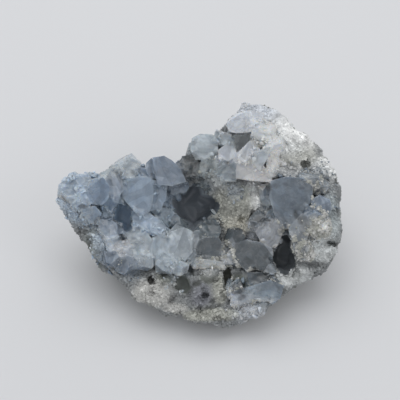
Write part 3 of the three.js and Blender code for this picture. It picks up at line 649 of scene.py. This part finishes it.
def dolomite_grains():
    """Loose-grown dolomite rhombs: each has its own shade, and flat faces that catch the light."""
    material, tree = blank_material("dolomite_grain")
    colour = toned_by_lot(tree, "stone", 0.7, 1.2)
    shader = wired(tree, "ShaderNodeBsdfPrincipled", Base_Color=colour, Roughness=0.6, IOR=1.62)
    wired(tree, "ShaderNodeOutputMaterial", Surface=shader)
    return material


def small_celestite():
    """Druse: celestite points of a millimetre or two, clear enough that light softens their shadows."""
    material, tree = blank_material("celestite_druse_crystal")
    shader = wired(
        tree, "ShaderNodeBsdfPrincipled", Base_Color=toned_by_lot(tree, "crystal", 0.86, 1.16),
        Roughness=0.22, IOR=CELESTITE_IOR, Transmission_Weight=0.2,
        Subsurface_Weight=0.7, Subsurface_Radius=CELESTITE_GLOW, Subsurface_Scale=1.5 * MM,
    )
    wired(tree, "ShaderNodeOutputMaterial", Surface=shader)
    return material


def grown_celestite():
    """Celestite crystals as grown: glassy facets made of laths grown side by side, with milky veils
    inside, dulled where they are chipped or frosted. The absorption gives the depth its blue."""
    material, tree = blank_material("celestite_grown_crystal")
    place = wired(tree, "ShaderNodeTexCoord").outputs["Object"]
    facet = wired(tree, "ShaderNodeUVMap", {"uv_map": "facet"})
    own, frost_and_highlight, broken = (
        wired(tree, "ShaderNodeAttribute", {"attribute_name": name}).outputs[output]
        for name, output in (("crystal", "Color"), ("frost_and_highlight", "Fac"), ("broken", "Fac"))
    )
    veil = wired(tree, "ShaderNodeTexNoise", Vector=place, Scale=1 / (5.0 * MM), Detail=4.0)
    speck = wired(tree, "ShaderNodeTexNoise", Vector=place, Scale=1 / (0.8 * MM), Detail=3.0)

    # Laths on a facet, and blocks and chips through the crystal: each cell is a plane with its own tilt.
    tones, tilts = [], []
    for where, scale in (
        (facet, (1 / 9, 1 / 3, 1.0)), (place, (1 / (4.5 * MM),) * 3), (place, (1 / (1.5 * MM),) * 3)
    ):
        where = wired(tree, "ShaderNodeMapping", Vector=where, Scale=scale)
        cell = wired(tree, "ShaderNodeTexVoronoi", Vector=where, Scale=1.0)
        own_number, middle = cell.outputs["Color"], cell.outputs["Position"]
        off = wired(tree, "ShaderNodeVectorMath", "SUBTRACT", s0=where, s1=middle)
        tilt = wired(tree, "ShaderNodeVectorMath", "SUBTRACT", s0=own_number, s1=(0.5, 0.5, 0.5))
        tilts.append(wired(tree, "ShaderNodeVectorMath", "DOT_PRODUCT", s0=off, s1=tilt).outputs["Value"])
        tones.append(wired(tree, "ShaderNodeSeparateColor", Color=own_number))

    # The body's own colour, clouded by the veils and shaded lath by lath and block by block.
    cloud = wired(tree, "ShaderNodeMapRange", Value=veil, From_Min=0.3, From_Max=0.7, To_Min=0.88, To_Max=1.1)
    lath = wired(tree, "ShaderNodeMapRange", Value=tones[0], To_Min=0.86, To_Max=1.12)
    block = wired(tree, "ShaderNodeMapRange", Value=tones[1], To_Min=0.9, To_Max=1.1)
    tone = wired(tree, "ShaderNodeMath", "MULTIPLY", s0=cloud, s1=lath)
    tone = wired(tree, "ShaderNodeMath", "MULTIPLY", s0=tone, s1=block)
    body = toned(tree, own, tone)

    # Healed cracks: thin milky sheets, where a slow noise passes its middle. Then frost, in patches of
    # fine specks; along the ridges this white is partly a painted highlight.
    sheet = wired(tree, "ShaderNodeTexNoise", Vector=place, Scale=1 / (6.0 * MM), Detail=6.0, Distortion=0.8)
    off = wired(tree, "ShaderNodeMath", "SUBTRACT", s0=sheet, s1=0.5)
    off = wired(tree, "ShaderNodeMath", "ABSOLUTE", s0=off)
    milky = wired(tree, "ShaderNodeMapRange", Value=off, From_Max=0.015, To_Min=0.1, To_Max=0.0)
    patchy = wired(
        tree, "ShaderNodeMapRange", Value=speck, From_Min=0.35, From_Max=0.6, To_Min=0.35, To_Max=1.0
    )
    white = wired(tree, "ShaderNodeMath", "MULTIPLY", s0=frost_and_highlight, s1=patchy)
    colour = body
    for share, over in ((milky, MILKY_CRACK), (white, FROSTING)):
        colour = wired(
            tree, "ShaderNodeMix", {"data_type": "RGBA"}, s0=share, s6=colour, s7=linear(over)
        ).outputs[2]

    # The relief: laths, blocks, chips where the crystal is veined, and the crust of the frost.
    crust = wired(tree, "ShaderNodeMath", "MULTIPLY", s0=speck, s1=white)
    chipped = wired(
        tree, "ShaderNodeMapRange", Value=veil, From_Min=0.42, From_Max=0.58, To_Min=0.0, To_Max=0.45
    )
    height = tilts[0]
    for layer, how_much in ((tilts[1], 1.7), (tilts[2], chipped), (crust, 0.4)):
        height = wired(tree, "ShaderNodeMath", "MULTIPLY_ADD", s0=layer, s1=how_much, s2=height)
    bump = wired(tree, "ShaderNodeBump", Strength=broken, Distance=1.2 * MM, Height=height)
    dull = wired(
        tree, "ShaderNodeMapRange", Value=veil, From_Min=0.35, From_Max=0.65, To_Min=0.12, To_Max=0.24
    )
    roughness = wired(tree, "ShaderNodeMath", "MULTIPLY_ADD", s0=frost_and_highlight, s1=0.4, s2=dull)
    shader = wired(
        tree, "ShaderNodeBsdfPrincipled", Base_Color=colour, Roughness=roughness, Normal=bump,
        IOR=CELESTITE_IOR, Transmission_Weight=0.3,
        Subsurface_Weight=1.0, Subsurface_Radius=CELESTITE_GLOW, Subsurface_Scale=2.0 * MM,
    )
    depth = wired(tree, "ShaderNodeVolumeAbsorption", Color=linear(CELESTITE_DEPTH), Density=40.0)
    wired(tree, "ShaderNodeOutputMaterial", Surface=shader, Volume=depth)
    return material


# ---------------- the rock
def rock_ground(points, facing):
    """What the rock's skin is at each point, from how it faces: the shares of hollow, crevice, rind and
    ground with small crystals, and the zones' mix of colour, tan grains and white grains."""
    at = on_face(points)
    hollow, wall = hollow_share(at)
    hollow *= smooth(-0.35, -0.1, facing)
    crevice = crevice_depth_and_shade(at) * smooth(0.0, 0.3, facing)
    behind = smooth(-14, -20, at[:, 2])
    rind = np.maximum(smooth(0.25, -0.15, facing), behind) * (1 - hollow)

    near = [far(at, x, y, reach, reach) for x, y, reach, *_ in CELESTITE_ZONES]
    druse = np.exp(-DRUSE_FADE * np.min(near, axis=0)) * (1 - rind)
    mix, strength = zone_mix(ROCK_ZONES, at, 4)
    known = smooth(0.02, 0.3, strength)[:, None]
    mix = mix * known + np.array(row_values(*BARE_ROCK)) * (1 - known)
    mix = mix * (1 - rind[:, None]) + np.array(row_values(*RIND)) * rind[:, None]
    return SimpleNamespace(
        at=at, place=points / MM, hollow=hollow, wall=wall, crevice=crevice, rind=rind, druse=druse, mix=mix,
        frosted=smooth(0.25, 0.75, mix[:, 0]),  # the white parts are lumpy and smooth, the others sugary
        streak=streaks(at),
    )


def rock_relief(ground):
    """How far in mm the rock's skin rises, with what its tones need. Sugary lumps are packed grains of two
    sizes on broad knobs. Between the crystals they give way to small crystal heads, and in the hollows
    to broad flat facets."""
    place, frosted, streak, druse = ground.place, ground.frosted, ground.streak, ground.druse
    deep, coarse = grains(place, *COARSE_GRAINS)
    deep_fine, fine = grains(place, *FINE_GRAINS)
    heads, head_own = crystal_heads(place, *SMALL_HEADS)
    walls, wall_own = crystal_heads(place, *WALL_FACETS)
    knobs = (0.9 + 0.5 * frosted) * lumps(place, *BROAD_KNOBS) + 0.5 * lumps(place, *SMALL_KNOBS)
    sugar = GRAIN_RISE * (coarse - 0.5) * smooth(0, 0.25, deep)
    sugar = sugar + FINE_GRAIN_RISE * (fine - 0.5) * smooth(0, 0.3, deep_fine)
    pitted = smooth(0.2, 0.6, lumps(place, *PITS)) * (1 - 0.7 * frosted)
    pits = -PIT_DEPTH * pitted - CREVICE_DEPTH * ground.crevice
    rise = knobs + (1.2 - 0.8 * frosted) * sugar + pits + (0.45 + 0.5 * frosted) * streak - 0.35
    grown = (HEAD_RISE - FROSTED_HEAD_LESS * frosted) * heads + 0.5 * knobs + 0.6 * frosted * streak - 0.5
    rise = rise * (1 - druse) + grown * druse
    rise = rise * (1 - ground.hollow) + (WALL_FACET_RISE * walls - WALL_FACET_SINK) * ground.hollow
    return rise, SimpleNamespace(coarse=coarse, head=head_own, wall=wall_own, pitted=pitted)


def coat_rock(mesh, ground, own):
    """Keeps the skin's colours and gloss on the mesh, and how thickly each small thing grows on it. The
    colours hold painted shade in the pits, the crevices and the hollows.
    """
    place, frosted, streak, mix = ground.place, ground.frosted, ground.streak, ground.mix
    hollow, crevice, rind, druse = ground.hollow, ground.crevice, ground.rind, ground.druse
    patch = smooth(0.1, 0.6, lumps(place, *RIND_PATCHES)) * rind
    stone = mix[:, :3] * (1 - patch[:, None]) + np.array(linear(CHALK)[:3]) * patch[:, None]
    tone = (0.86 + 0.24 * own.coarse) * (1 + 0.14 * lumps(place, *MOTTLE))
    tone *= 1 + (0.16 + 0.16 * frosted) * streak
    tone *= 1 + 0.16 * lumps(place, *BROAD_MOTTLE) * (1 - frosted)
    # Pits are up to 45% darker, and crevices by their own darkness: painted shade.
    tone *= (1 - 0.45 * own.pitted) * (1 - crevice)
    celestite, _ = zone_mix(CELESTITE_ZONES, ground.at, 3)
    crystal_tone = (0.88 + 0.18 * own.head) * (1 + (0.14 + 0.14 * frosted) * streak)
    crystal = celestite[:, :3] * crystal_tone[:, None]

    # In the hollows the skin and its small crystals take the walls' colour: painted shade.
    depth = smooth(0.3, 1.0, hollow)[:, None]
    crystal = crystal * (1 - 0.75 * depth) + ground.wall * 0.75 * depth
    stone = stone * tone[:, None] * (1 - druse[:, None]) + crystal * druse[:, None]
    stone = stone + np.array(linear(MOSS)[:3]) * 0.35 * crevice[:, None]
    stone = stone * (1 - depth) + ground.wall * (0.8 + 0.4 * own.wall[:, None]) * depth
    keep(mesh, "stone", stone)
    keep(mesh, "gloss", np.maximum(hollow, 0.7 * druse))
    keep(mesh, "crystal", crystal)

    off_floor = smooth(0.5, 3.0, place[:, 2])
    open_face = (1 - hollow) * (1 - smooth(0.1, 0.4, crevice)) * (1 - rind) * off_floor
    bare_face = open_face * (1 - smooth(0.25, 0.6, druse))
    grainy = bare_face + 0.5 * rind * smooth(1.0, 5.0, place[:, 2])
    clumps = lumps(place, *GRAIN_CLUMPS)
    keep(mesh, "tan_cover", mix[:, 3] * grainy * smooth(-0.25, 0.3, clumps))
    keep(mesh, "white_cover", mix[:, 4] * grainy * smooth(0.3, -0.3, clumps))
    keep(mesh, "druse_cover", np.clip(1.6 * druse, 0, 1) * open_face)
    keep(mesh, "infill_cover", druse * open_face)
    keep(mesh, "lining_cover", smooth(0.02, 0.2, hollow) * smooth(0.95, 0.6, hollow))


def rock_piece():
    """The host rock: its skin made fine, raised, and coated. The relief fades out on the resting spot."""
    piece = object_of("dolomite_rock", solid_copy("host_rock", "dolomite_rock"))
    remesh = piece.modifiers.new("skin", "REMESH")
    remesh.mode = "VOXEL"
    remesh.voxel_size = ROCK_VOXEL * MM
    mesh = settled(piece)
    points, normals = points_of(mesh), normals_of(mesh)
    ground = rock_ground(points, normals @ FACE_NORMAL)
    rise, own = rock_relief(ground)
    rise = rise * smooth(0.2, 4.0, ground.place[:, 2])
    set_points(mesh, points + normals * (rise * MM)[:, None])
    coat_rock(mesh, ground, own)
    mesh.polygons.foreach_set("use_smooth", [True] * len(mesh.polygons))
    mesh.materials.append(sugary_dolomite())
    return piece


# ---------------- the crystals
def unit(ways):
    """The same directions, each of length one."""
    return ways / np.maximum(np.linalg.norm(ways, axis=1), TINY)[:, None]


def edge_sides(triangles):
    """Each edge's triangles, by its two vertices, the lower one first."""
    sides = {}
    for i, (a, b, c) in enumerate(triangles.tolist()):
        for edge in ((a, b), (b, c), (c, a)):
            sides.setdefault(tuple(sorted(edge)), []).append(i)
    return sides


def facets_of(points, triangles):
    """The facet that each triangle belongs to, which is the triangles that share an edge and lie in one
    plane, and the edges that are ridges and creases."""
    corners = points[triangles]
    normals = np.cross(corners[:, 1] - corners[:, 0], corners[:, 2] - corners[:, 0])
    area = np.linalg.norm(normals, axis=1)  # of each triangle, twice over
    normals = unit(normals)
    parent = list(range(len(triangles)))

    def head(i):
        while parent[i] != i:
            parent[i] = parent[parent[i]]
            i = parent[i]
        return i

    ridges, creases = [], []
    flat, sharp = (math.cos(math.radians(angle)) for angle in (FLAT_ANGLE, RIDGE_ANGLE))
    for (a, b), sides in edge_sides(triangles).items():
        if len(sides) != 2:
            continue
        s, t = sides
        turn = normals[s] @ normals[t]
        if turn > flat or min(area[s], area[t]) < SLIVER:
            parent[head(t)] = head(s)
        elif turn < sharp:
            over = points[list(set(triangles[t]) - {a, b})[0]] - points[a]
            (ridges if over @ normals[s] < 0 else creases).append((a, b))
    _, facet = np.unique([head(i) for i in range(len(triangles))], return_inverse=True)
    return facet, normals, area, ridges, creases


def facet_frames(points, triangles, facet, normals, area):
    """Each facet's middle, its normal, and the way its growth lines run, which is its longest way."""
    count = facet.max() + 1
    total, centre, up, along = np.zeros(count), *np.zeros((3, count, 3))
    np.add.at(total, facet, area)
    np.add.at(centre, facet, points[triangles].mean(1) * area[:, None])
    np.add.at(up, facet, normals * area[:, None])
    centre /= np.maximum(total, TINY)[:, None]
    up = unit(up)
    for i in range(count):
        spread = points[triangles[facet == i]].reshape(-1, 3) - centre[i]
        longest = np.linalg.svd(spread, full_matrices=False)[2][0]
        along[i] = longest - up[i] * (longest @ up[i])
    return centre, up, unit(along)


def nearness(points, lines, of, step=0.5 * MM):
    """Distance in mm from each point to the nearest of the lines, which join vertices of `of`."""
    dots = []
    for a, b in lines:
        length = np.linalg.norm(of[b] - of[a])
        for t in np.linspace(0, 1, max(2, int(length / step) + 1)):
            dots.append(of[a] + t * (of[b] - of[a]))
    tree = kdtree.KDTree(len(dots))
    for i, dot in enumerate(dots):
        tree.insert(dot, i)
    tree.balance()
    return np.array([tree.find(p)[2] for p in points.tolist()]) / MM


def refined(points, triangles, owner, longest):
    """Splits every edge longer than that, until none is left. Each new triangle keeps its owner."""
    while True:
        pairs = np.sort(triangles[:, [[0, 1], [1, 2], [2, 0]]].reshape(-1, 2), axis=1)
        edges, which = np.unique(pairs, axis=0, return_inverse=True)
        which = which.reshape(-1, 3)
        length = np.linalg.norm(points[edges[:, 0]] - points[edges[:, 1]], axis=1)
        split = length > longest
        if not split.any():
            return points, triangles, owner
        middle = np.full(len(edges), -1)
        middle[split] = len(points) + np.arange(split.sum())
        points = np.concatenate([points, points[edges[split]].mean(1)])
        made, kept = [], []
        cuts = split[which]
        for pattern in itertools.product((False, True), repeat=3):
            rows = np.flatnonzero((cuts == pattern).all(1))
            if not len(rows):
                continue
            # turned so that one cut is on the first edge, and two are on the first and second
            first = next((k for k in range(3) if pattern[k] and not pattern[k - 1]), 0)
            order = [(first + k) % 3 for k in range(3)]
            a, b, c = triangles[rows][:, order].T
            ab, bc, ca = middle[which[rows][:, order]].T
            pieces = {
                0: [(a, b, c)],
                1: [(a, ab, c), (ab, b, c)],
                2: [(a, ab, c), (ab, bc, c), (ab, b, bc)],
                3: [(a, ab, ca), (ab, b, bc), (ca, bc, c), (ab, bc, ca)],
            }[sum(pattern)]
            for piece in pieces:
                made.append(np.stack(piece, axis=1))
                kept.append(owner[rows])
        triangles, owner = np.concatenate(made), np.concatenate(kept)


def crystal_piece():
    """The large crystals: the solid's facets, made fine, with growth hills, chipped ridges and creases
    that are grown over, coloured facet by facet."""
    coarse = solid_copy("celestite_crust", "celestite_crystals")
    corners = points_of(coarse)
    large = np.array([tuple(p.vertices) for p in coarse.polygons])
    facet, normals, area, ridges, creases = facets_of(corners, large)
    centre, up, along = facet_frames(corners, large, facet, normals, area)
    points, triangles, facet = refined(corners, large, facet, CRYSTAL_EDGE * MM)
    mesh = bpy.data.meshes.new("celestite_crystals")
    mesh.from_pydata(points.tolist(), [], triangles.tolist())
    piece = object_of("celestite_crystals", mesh)
    of_vertex = np.zeros(len(points), int)
    of_vertex[triangles.ravel()] = np.repeat(facet, 3)

    place, at = points / MM, on_face(points)
    ridge, crease = (nearness(points, lines, corners) for lines in (ridges, creases))
    zone, _ = zone_mix(CELESTITE_ZONES, at, 3)
    frosted, druse, dusted = zone[:, 3], zone[:, 4], zone[:, 5]
    streak = streaks(at)
    rough, _ = crystal_heads(place, *ROUGH_HEADS)

    # Relief in mm: hills on the facets, away from their edges, filled creases, and chips off the ridges.
    hills = 0.12 * lumps(place, *FACET_HILLS) + 0.2 * streak + (0.35 * frosted + 0.8 * druse) * rough
    inner = smooth(0.1, 1.0, ridge) * smooth(0.1, 0.8, crease)
    filled = CREASE_FILL * smooth(2.4, 0.0, crease)
    moved = up[of_vertex] * ((hills - 0.1) * inner)[:, None] + FACE_NORMAL * filled[:, None]
    chips = smooth(0.8, 0.0, ridge) * smooth(0.0, 0.6, lumps(place, *CHIPS)) * (0.3 + 0.5 * rough)
    moved -= normals_of(mesh) * chips[:, None]
    set_points(mesh, points + moved * MM)

    # The zone's colour goes mostly by facet, so that a crystal is one colour with crisp borders.
    of_facet, _ = zone_mix(CELESTITE_ZONES, on_face(centre), 3)
    rng = np.random.default_rng(4)
    shade = rng.uniform(0.89, 1.11, len(centre))
    crystal = 0.6 * of_facet[of_vertex][:, :3] + 0.4 * zone[:, :3]
    # Creases are painted up to 8% lighter, against the shade that falls in them.
    tone = shade[of_vertex] * (1.08 - 0.08 * smooth(0.0, 1.6, crease)) * (1 + 0.14 * streak)
    # The crevices' painted shade darkens the crystals too.
    keep(mesh, "crystal", crystal * (tone * (1 - crevice_depth_and_shade(at)))[:, None])
    keep(mesh, "broken", np.clip(0.35 + 5 * frosted + druse, 0, 1))
    # Frost along the ridges: partly chipped white, partly a painted highlight on the edges.
    edge_frost_and_highlight = smooth(0.7, 0.05, ridge) * 0.2 * smooth(0.1, 0.7, lumps(place, *EDGE_FROST))
    patchy = lumps(place, *FROST_PATCHES) + 0.6 * lumps(place, *FINE_FROST)
    keep(mesh, "frost_and_highlight", np.clip(edge_frost_and_highlight + frosted * smooth(-0.35, 0.45, patchy), 0, 1))

    # What grows on them: small crystals in the seams and on rough facets, and dolomite dust.
    outside = smooth(-0.1, 0.2, up[of_vertex] @ FACE_NORMAL)
    seams = smooth(2.0, 0.2, crease) * smooth(-0.5, 0.3, lumps(place, *SEAM_GAPS))
    keep(mesh, "seam_cover", seams * outside * (0.35 + 0.65 * np.clip(6 * frosted, 0, 1)))
    keep(mesh, "druse_cover", outside * druse * (0.25 + 0.75 * smooth(2.5, 0.3, crease)))
    dusty = dusted * (1 + 4 * smooth(2.0, 0.2, crease))
    patches = smooth(-0.3, 0.3, lumps(place, *DUST_PATCHES))
    keep(mesh, "dust_cover", outside * smooth(0.15, 0.6, dusty) * patches)
    pale = lumps(place, *DUST_KINDS)[:, None] > 0
    keep(mesh, "stone", np.where(pale, linear(GRIT)[:3], linear(TAN)[:3]))

    # The facets' own UV map in mm, each shifted at random, for the laths.
    layer = mesh.uv_layers.new(name="facet")
    corner_facet = np.repeat(facet, 3)
    off = place[triangles.ravel()] - centre[corner_facet] / MM
    uv = [
        (off * way[corner_facet]).sum(1) + LATH_SHIFT * rng.uniform(0, 1, len(centre))[corner_facet]
        for way in (along, np.cross(up, along))
    ]
    layer.data.foreach_set("uv", np.stack(uv, axis=1).astype(np.float32).ravel())
    mark_ridges(mesh, triangles, facet)
    mesh.materials.append(grown_celestite())
    return piece


def mark_ridges(mesh, triangles, facet):
    """Smooth shading inside a facet, sharp where two facets meet."""
    mesh.polygons.foreach_set("use_smooth", [True] * len(mesh.polygons))
    sides = edge_sides(triangles)
    sharp = mesh.attributes.new("sharp_edge", "BOOLEAN", "EDGE")
    pairs = np.empty(2 * len(mesh.edges), np.int32)
    mesh.edges.foreach_get("vertices", pairs)
    pairs = np.sort(pairs.reshape(-1, 2), axis=1).tolist()
    sharp.data.foreach_set("value", [len({facet[i] for i in sides[a, b]}) > 1 for a, b in pairs])


# ---------------- what grows on both
def prototype(name, points, collection):
    """Adds a small closed convex crystal, from its corners, to a collection."""
    shell = bmesh.new()
    for p in points:
        shell.verts.new(p)
    bmesh.ops.convex_hull(shell, input=shell.verts)
    loose = [v for v in shell.verts if not v.link_faces]
    bmesh.ops.delete(shell, geom=loose, context="VERTS")
    bmesh.ops.recalc_face_normals(shell, faces=shell.faces[:])
    mesh = bpy.data.meshes.new(name)
    shell.to_mesh(mesh)
    shell.free()
    collection.objects.link(bpy.data.objects.new(name, mesh))


def small_crystals(rng, count, kind):
    """Prototypes one unit wide. A "rhomb" is a skewed dolomite cube, a "shard" a broken bit of celestite
    and a "prism" a six-sided one, shut by a chisel roof, with its root under the origin and its tip up Z."""
    collection = bpy.data.collections.new(kind + "_kinds")
    bpy.context.scene.collection.children.link(collection)
    for i in range(count):
        if kind == "rhomb":
            skew = np.eye(3) + rng.uniform(-0.28, 0.28, (3, 3))
            corners = [skew @ (np.array(c) - 0.5) for c in itertools.product((0, 1), repeat=3)]
        elif kind == "shard":
            ways = unit(rng.normal(size=(9, 3)))
            corners = list(ways * np.array([0.5, rng.uniform(0.3, 0.45), rng.uniform(0.35, 0.7)]))
        else:
            thick, tall, drop = rng.uniform(0.6, 0.95), rng.uniform(0.7, 1.5), rng.uniform(0.25, 0.45)
            corners = []
            for turn in np.radians(60 * np.arange(6) + rng.uniform(-12, 12, 6)):
                x, y = 0.5 * math.cos(turn), 0.5 * thick * math.sin(turn)
                corners += [(x, y, -0.4), (x, y, tall - drop * rng.uniform(0.7, 1.3))]
            corners += [(x, rng.uniform(-0.05, 0.05), tall) for x in (-0.15, rng.uniform(0.0, 0.25))]
        prototype(f"{kind}_kind_{i}", corners, collection)
    return collection


def scatter_tree(cover, kinds, material):
    """Geometry Nodes that grow small crystals on a mesh: more where its `cover` attribute is high, of
    mixed sizes with few big ones, standing off the surface or lying any way up."""
    tree = bpy.data.node_groups.new("grown_" + cover, "GeometryNodeTree")
    face = tree.interface
    face.new_socket("Geometry", in_out="INPUT", socket_type="NodeSocketGeometry")
    for name in ("Density", "Smallest", "Largest", "Tilt"):
        face.new_socket(name, in_out="INPUT", socket_type="NodeSocketFloat")
    face.new_socket("Seed", in_out="INPUT", socket_type="NodeSocketInt")
    face.new_socket("Geometry", in_out="OUTPUT", socket_type="NodeSocketGeometry")
    given = wired(tree, "NodeGroupInput").outputs
    thickly = wired(tree, "GeometryNodeInputNamedAttribute", {"data_type": "FLOAT"}, Name=cover)
    density = wired(tree, "ShaderNodeMath", "MULTIPLY", s0=thickly, s1=given["Density"])
    spread = wired(
        tree, "GeometryNodeDistributePointsOnFaces", {"distribute_method": "RANDOM"},
        Mesh=given["Geometry"], Density=density, Seed=given["Seed"],
    )
    lot = wired(tree, "FunctionNodeRandomValue", {"data_type": "FLOAT"}, Seed=given["Seed"]).outputs[1]
    marked = wired(
        tree, "GeometryNodeStoreNamedAttribute", {"data_type": "FLOAT", "domain": "POINT"},
        Geometry=spread.outputs["Points"], Name="lot", Value=lot,
    )
    shift = wired(tree, "ShaderNodeMath", "ADD", s0=given["Seed"], s1=5.0)
    luck = wired(tree, "FunctionNodeRandomValue", {"data_type": "FLOAT"}, Seed=shift).outputs[1]
    few = wired(tree, "ShaderNodeMath", "POWER", s0=luck, s1=2.5)
    size = wired(tree, "ShaderNodeMapRange", Value=few, To_Min=given["Smallest"], To_Max=given["Largest"])
    back = wired(tree, "ShaderNodeMath", "MULTIPLY", s0=given["Tilt"], s1=-1.0)
    low = wired(tree, "ShaderNodeCombineXYZ", X=back, Y=back, Z=-HALF_TURN)
    high = wired(tree, "ShaderNodeCombineXYZ", X=given["Tilt"], Y=given["Tilt"], Z=HALF_TURN)
    lean = wired(
        tree, "FunctionNodeRandomValue", {"data_type": "FLOAT_VECTOR"}, s0=low, s1=high, Seed=given["Seed"]
    )
    turn = wired(
        tree, "FunctionNodeRotateRotation", {"rotation_space": "LOCAL"},
        Rotation=spread.outputs["Rotation"], Rotate_By=wired(tree, "FunctionNodeEulerToRotation", s0=lean),
    )
    several = wired(
        tree, "GeometryNodeCollectionInfo", Collection=kinds, Separate_Children=True, Reset_Children=True
    )
    placed = wired(
        tree, "GeometryNodeInstanceOnPoints", Points=marked, Instance=several, Pick_Instance=True,
        Rotation=turn, Scale=size,
    )
    real = wired(tree, "GeometryNodeRealizeInstances", Geometry=placed)
    coated = wired(tree, "GeometryNodeSetMaterial", Geometry=real, Material=material)
    wired(tree, "NodeGroupOutput", Geometry=coated)
    return tree


def grown_on(ground, name, cover, kinds, material, density, sizes, tilt, seed):
    """A piece made of small crystals on the ground's mesh. Density is crystals per square centimetre
    where the cover is full, sizes are millimetres, and tilt is the most that one leans, in radians."""
    piece = object_of(name, ground.data.copy())
    grow = piece.modifiers.new("grow", "NODES")
    grow.node_group = scatter_tree(cover, kinds, material)
    smallest, largest = (size * MM for size in sizes)
    values = {
        "Density": density * 1e4, "Smallest": smallest, "Largest": largest, "Tilt": tilt, "Seed": seed
    }
    for item in grow.node_group.interface.items_tree:
        if item.item_type == "SOCKET" and item.in_out == "INPUT" and item.name in values:
            grow[item.identifier] = values[item.name]
    mesh = settled(piece)
    mesh.name = name
    set_points(mesh, points_of(mesh))
    return piece


# ---------------- the studio
TABLE_REACH = 4  # metres from the middle to the table's edge
LIT = (0, 0, 0.03)  # the point that the lamps look at, in metres
# name, place and width in metres, watts
LAMPS = [("soft_box", (-0.1, 0.42, 1.2), 1.3, 7.2), ("side_card", (0.9, -0.5, 0.8), 0.5, 1.0)]
CAMERA_AIM = (0, 6.4, 0)  # on the face, in mm
CAMERA_AWAY = 0.463  # metres
CAMERA_RISE = math.radians(50)


def studio():
    """A pale table under a broad soft lamp, a small one at the side and an even sky, and the camera."""
    shell = bmesh.new()
    bmesh.ops.create_grid(shell, x_segments=1, y_segments=1, size=TABLE_REACH)
    mesh = bpy.data.meshes.new("table")
    shell.to_mesh(mesh)
    shell.free()
    table = object_of("table", mesh)
    material, tree = blank_material("painted_table")
    paint = wired(tree, "ShaderNodeBsdfPrincipled", Base_Color=linear(TABLE_PAINT), Roughness=0.9)
    wired(tree, "ShaderNodeOutputMaterial", Surface=paint)
    mesh.materials.append(material)

    world = bpy.data.worlds.new("sky")
    bpy.context.scene.world = world
    world.use_nodes = True
    world.node_tree.nodes.clear()
    sky = wired(world.node_tree, "ShaderNodeBackground", Color=linear(SKY), Strength=0.75)
    wired(world.node_tree, "ShaderNodeOutputWorld", Surface=sky)

    for name, place, width, watts in LAMPS:
        lamp = bpy.data.lights.new(name, "AREA")
        lamp.shape = "SQUARE"
        lamp.size = width
        lamp.energy = watts
        holder = object_of(name, lamp)
        holder.location = place
        holder.rotation_euler = (Vector(LIT) - Vector(place)).to_track_quat("-Z", "Y").to_euler()

    camera = bpy.data.cameras.new("camera")
    camera.lens = 85
    camera.sensor_width = 36
    camera.clip_start, camera.clip_end = 0.01, 20
    eye = object_of("camera", camera)
    aim = Vector(off_face([CAMERA_AIM])[0])
    eye.location = aim + CAMERA_AWAY * Vector((0, -math.cos(CAMERA_RISE), math.sin(CAMERA_RISE)))
    eye.rotation_euler = (aim - eye.location).to_track_quat("-Z", "Y").to_euler()
    bpy.context.scene.camera = eye
    bpy.context.scene.view_settings.view_transform = "Standard"


# ---------------- the fragment
rng = np.random.default_rng(17)
rock = rock_piece()
crystals = crystal_piece()
rhombs = small_crystals(rng, 6, "rhomb")
prisms = small_crystals(rng, 8, "prism")
shards = small_crystals(rng, 12, "shard")
grain_stone = dolomite_grains()
grain_celestite = small_celestite()
# Ground, name, cover, kinds, material, crystals per square centimetre, sizes, tilt and seed.
pieces = [
    grown_on(*row)
    for row in [
        (rock, "tan_dolomite_grains", "tan_cover", rhombs, grain_stone, 260, (0.4, 1.5), 1.2, 3),
        (rock, "white_dolomite_grains", "white_cover", rhombs, grain_stone, 260, (0.35, 1.1), 1.2, 5),
        (crystals, "dolomite_dusting", "dust_cover", rhombs, grain_stone, 450, (0.35, 1.2), 1.2, 6),
        (rock, "celestite_infill", "infill_cover", shards, grain_celestite, 24, (1.5, 5.0), 0.9, 13),
        (rock, "celestite_druse", "druse_cover", shards, grain_celestite, 150, (0.7, 2.4), 1.2, 7),
        (rock, "celestite_lining", "lining_cover", prisms, grain_celestite, 9, (1.2, 3.2), 0.6, 15),
        (crystals, "celestite_seams", "seam_cover", shards, grain_celestite, 60, (0.9, 3.2), 1.0, 21),
        (crystals, "celestite_overgrowth", "druse_cover", shards, grain_celestite, 160, (0.4, 1.5), 1.2, 9),
    ]
]
for kinds in (rhombs, prisms, shards):
    for kind in list(kinds.objects):
        bpy.data.objects.remove(kind)
    bpy.data.collections.remove(kinds)

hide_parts("host_rock")
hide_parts("celestite_crust")
for piece in [rock, crystals, *pieces]:
    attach(piece, "root")
studio()
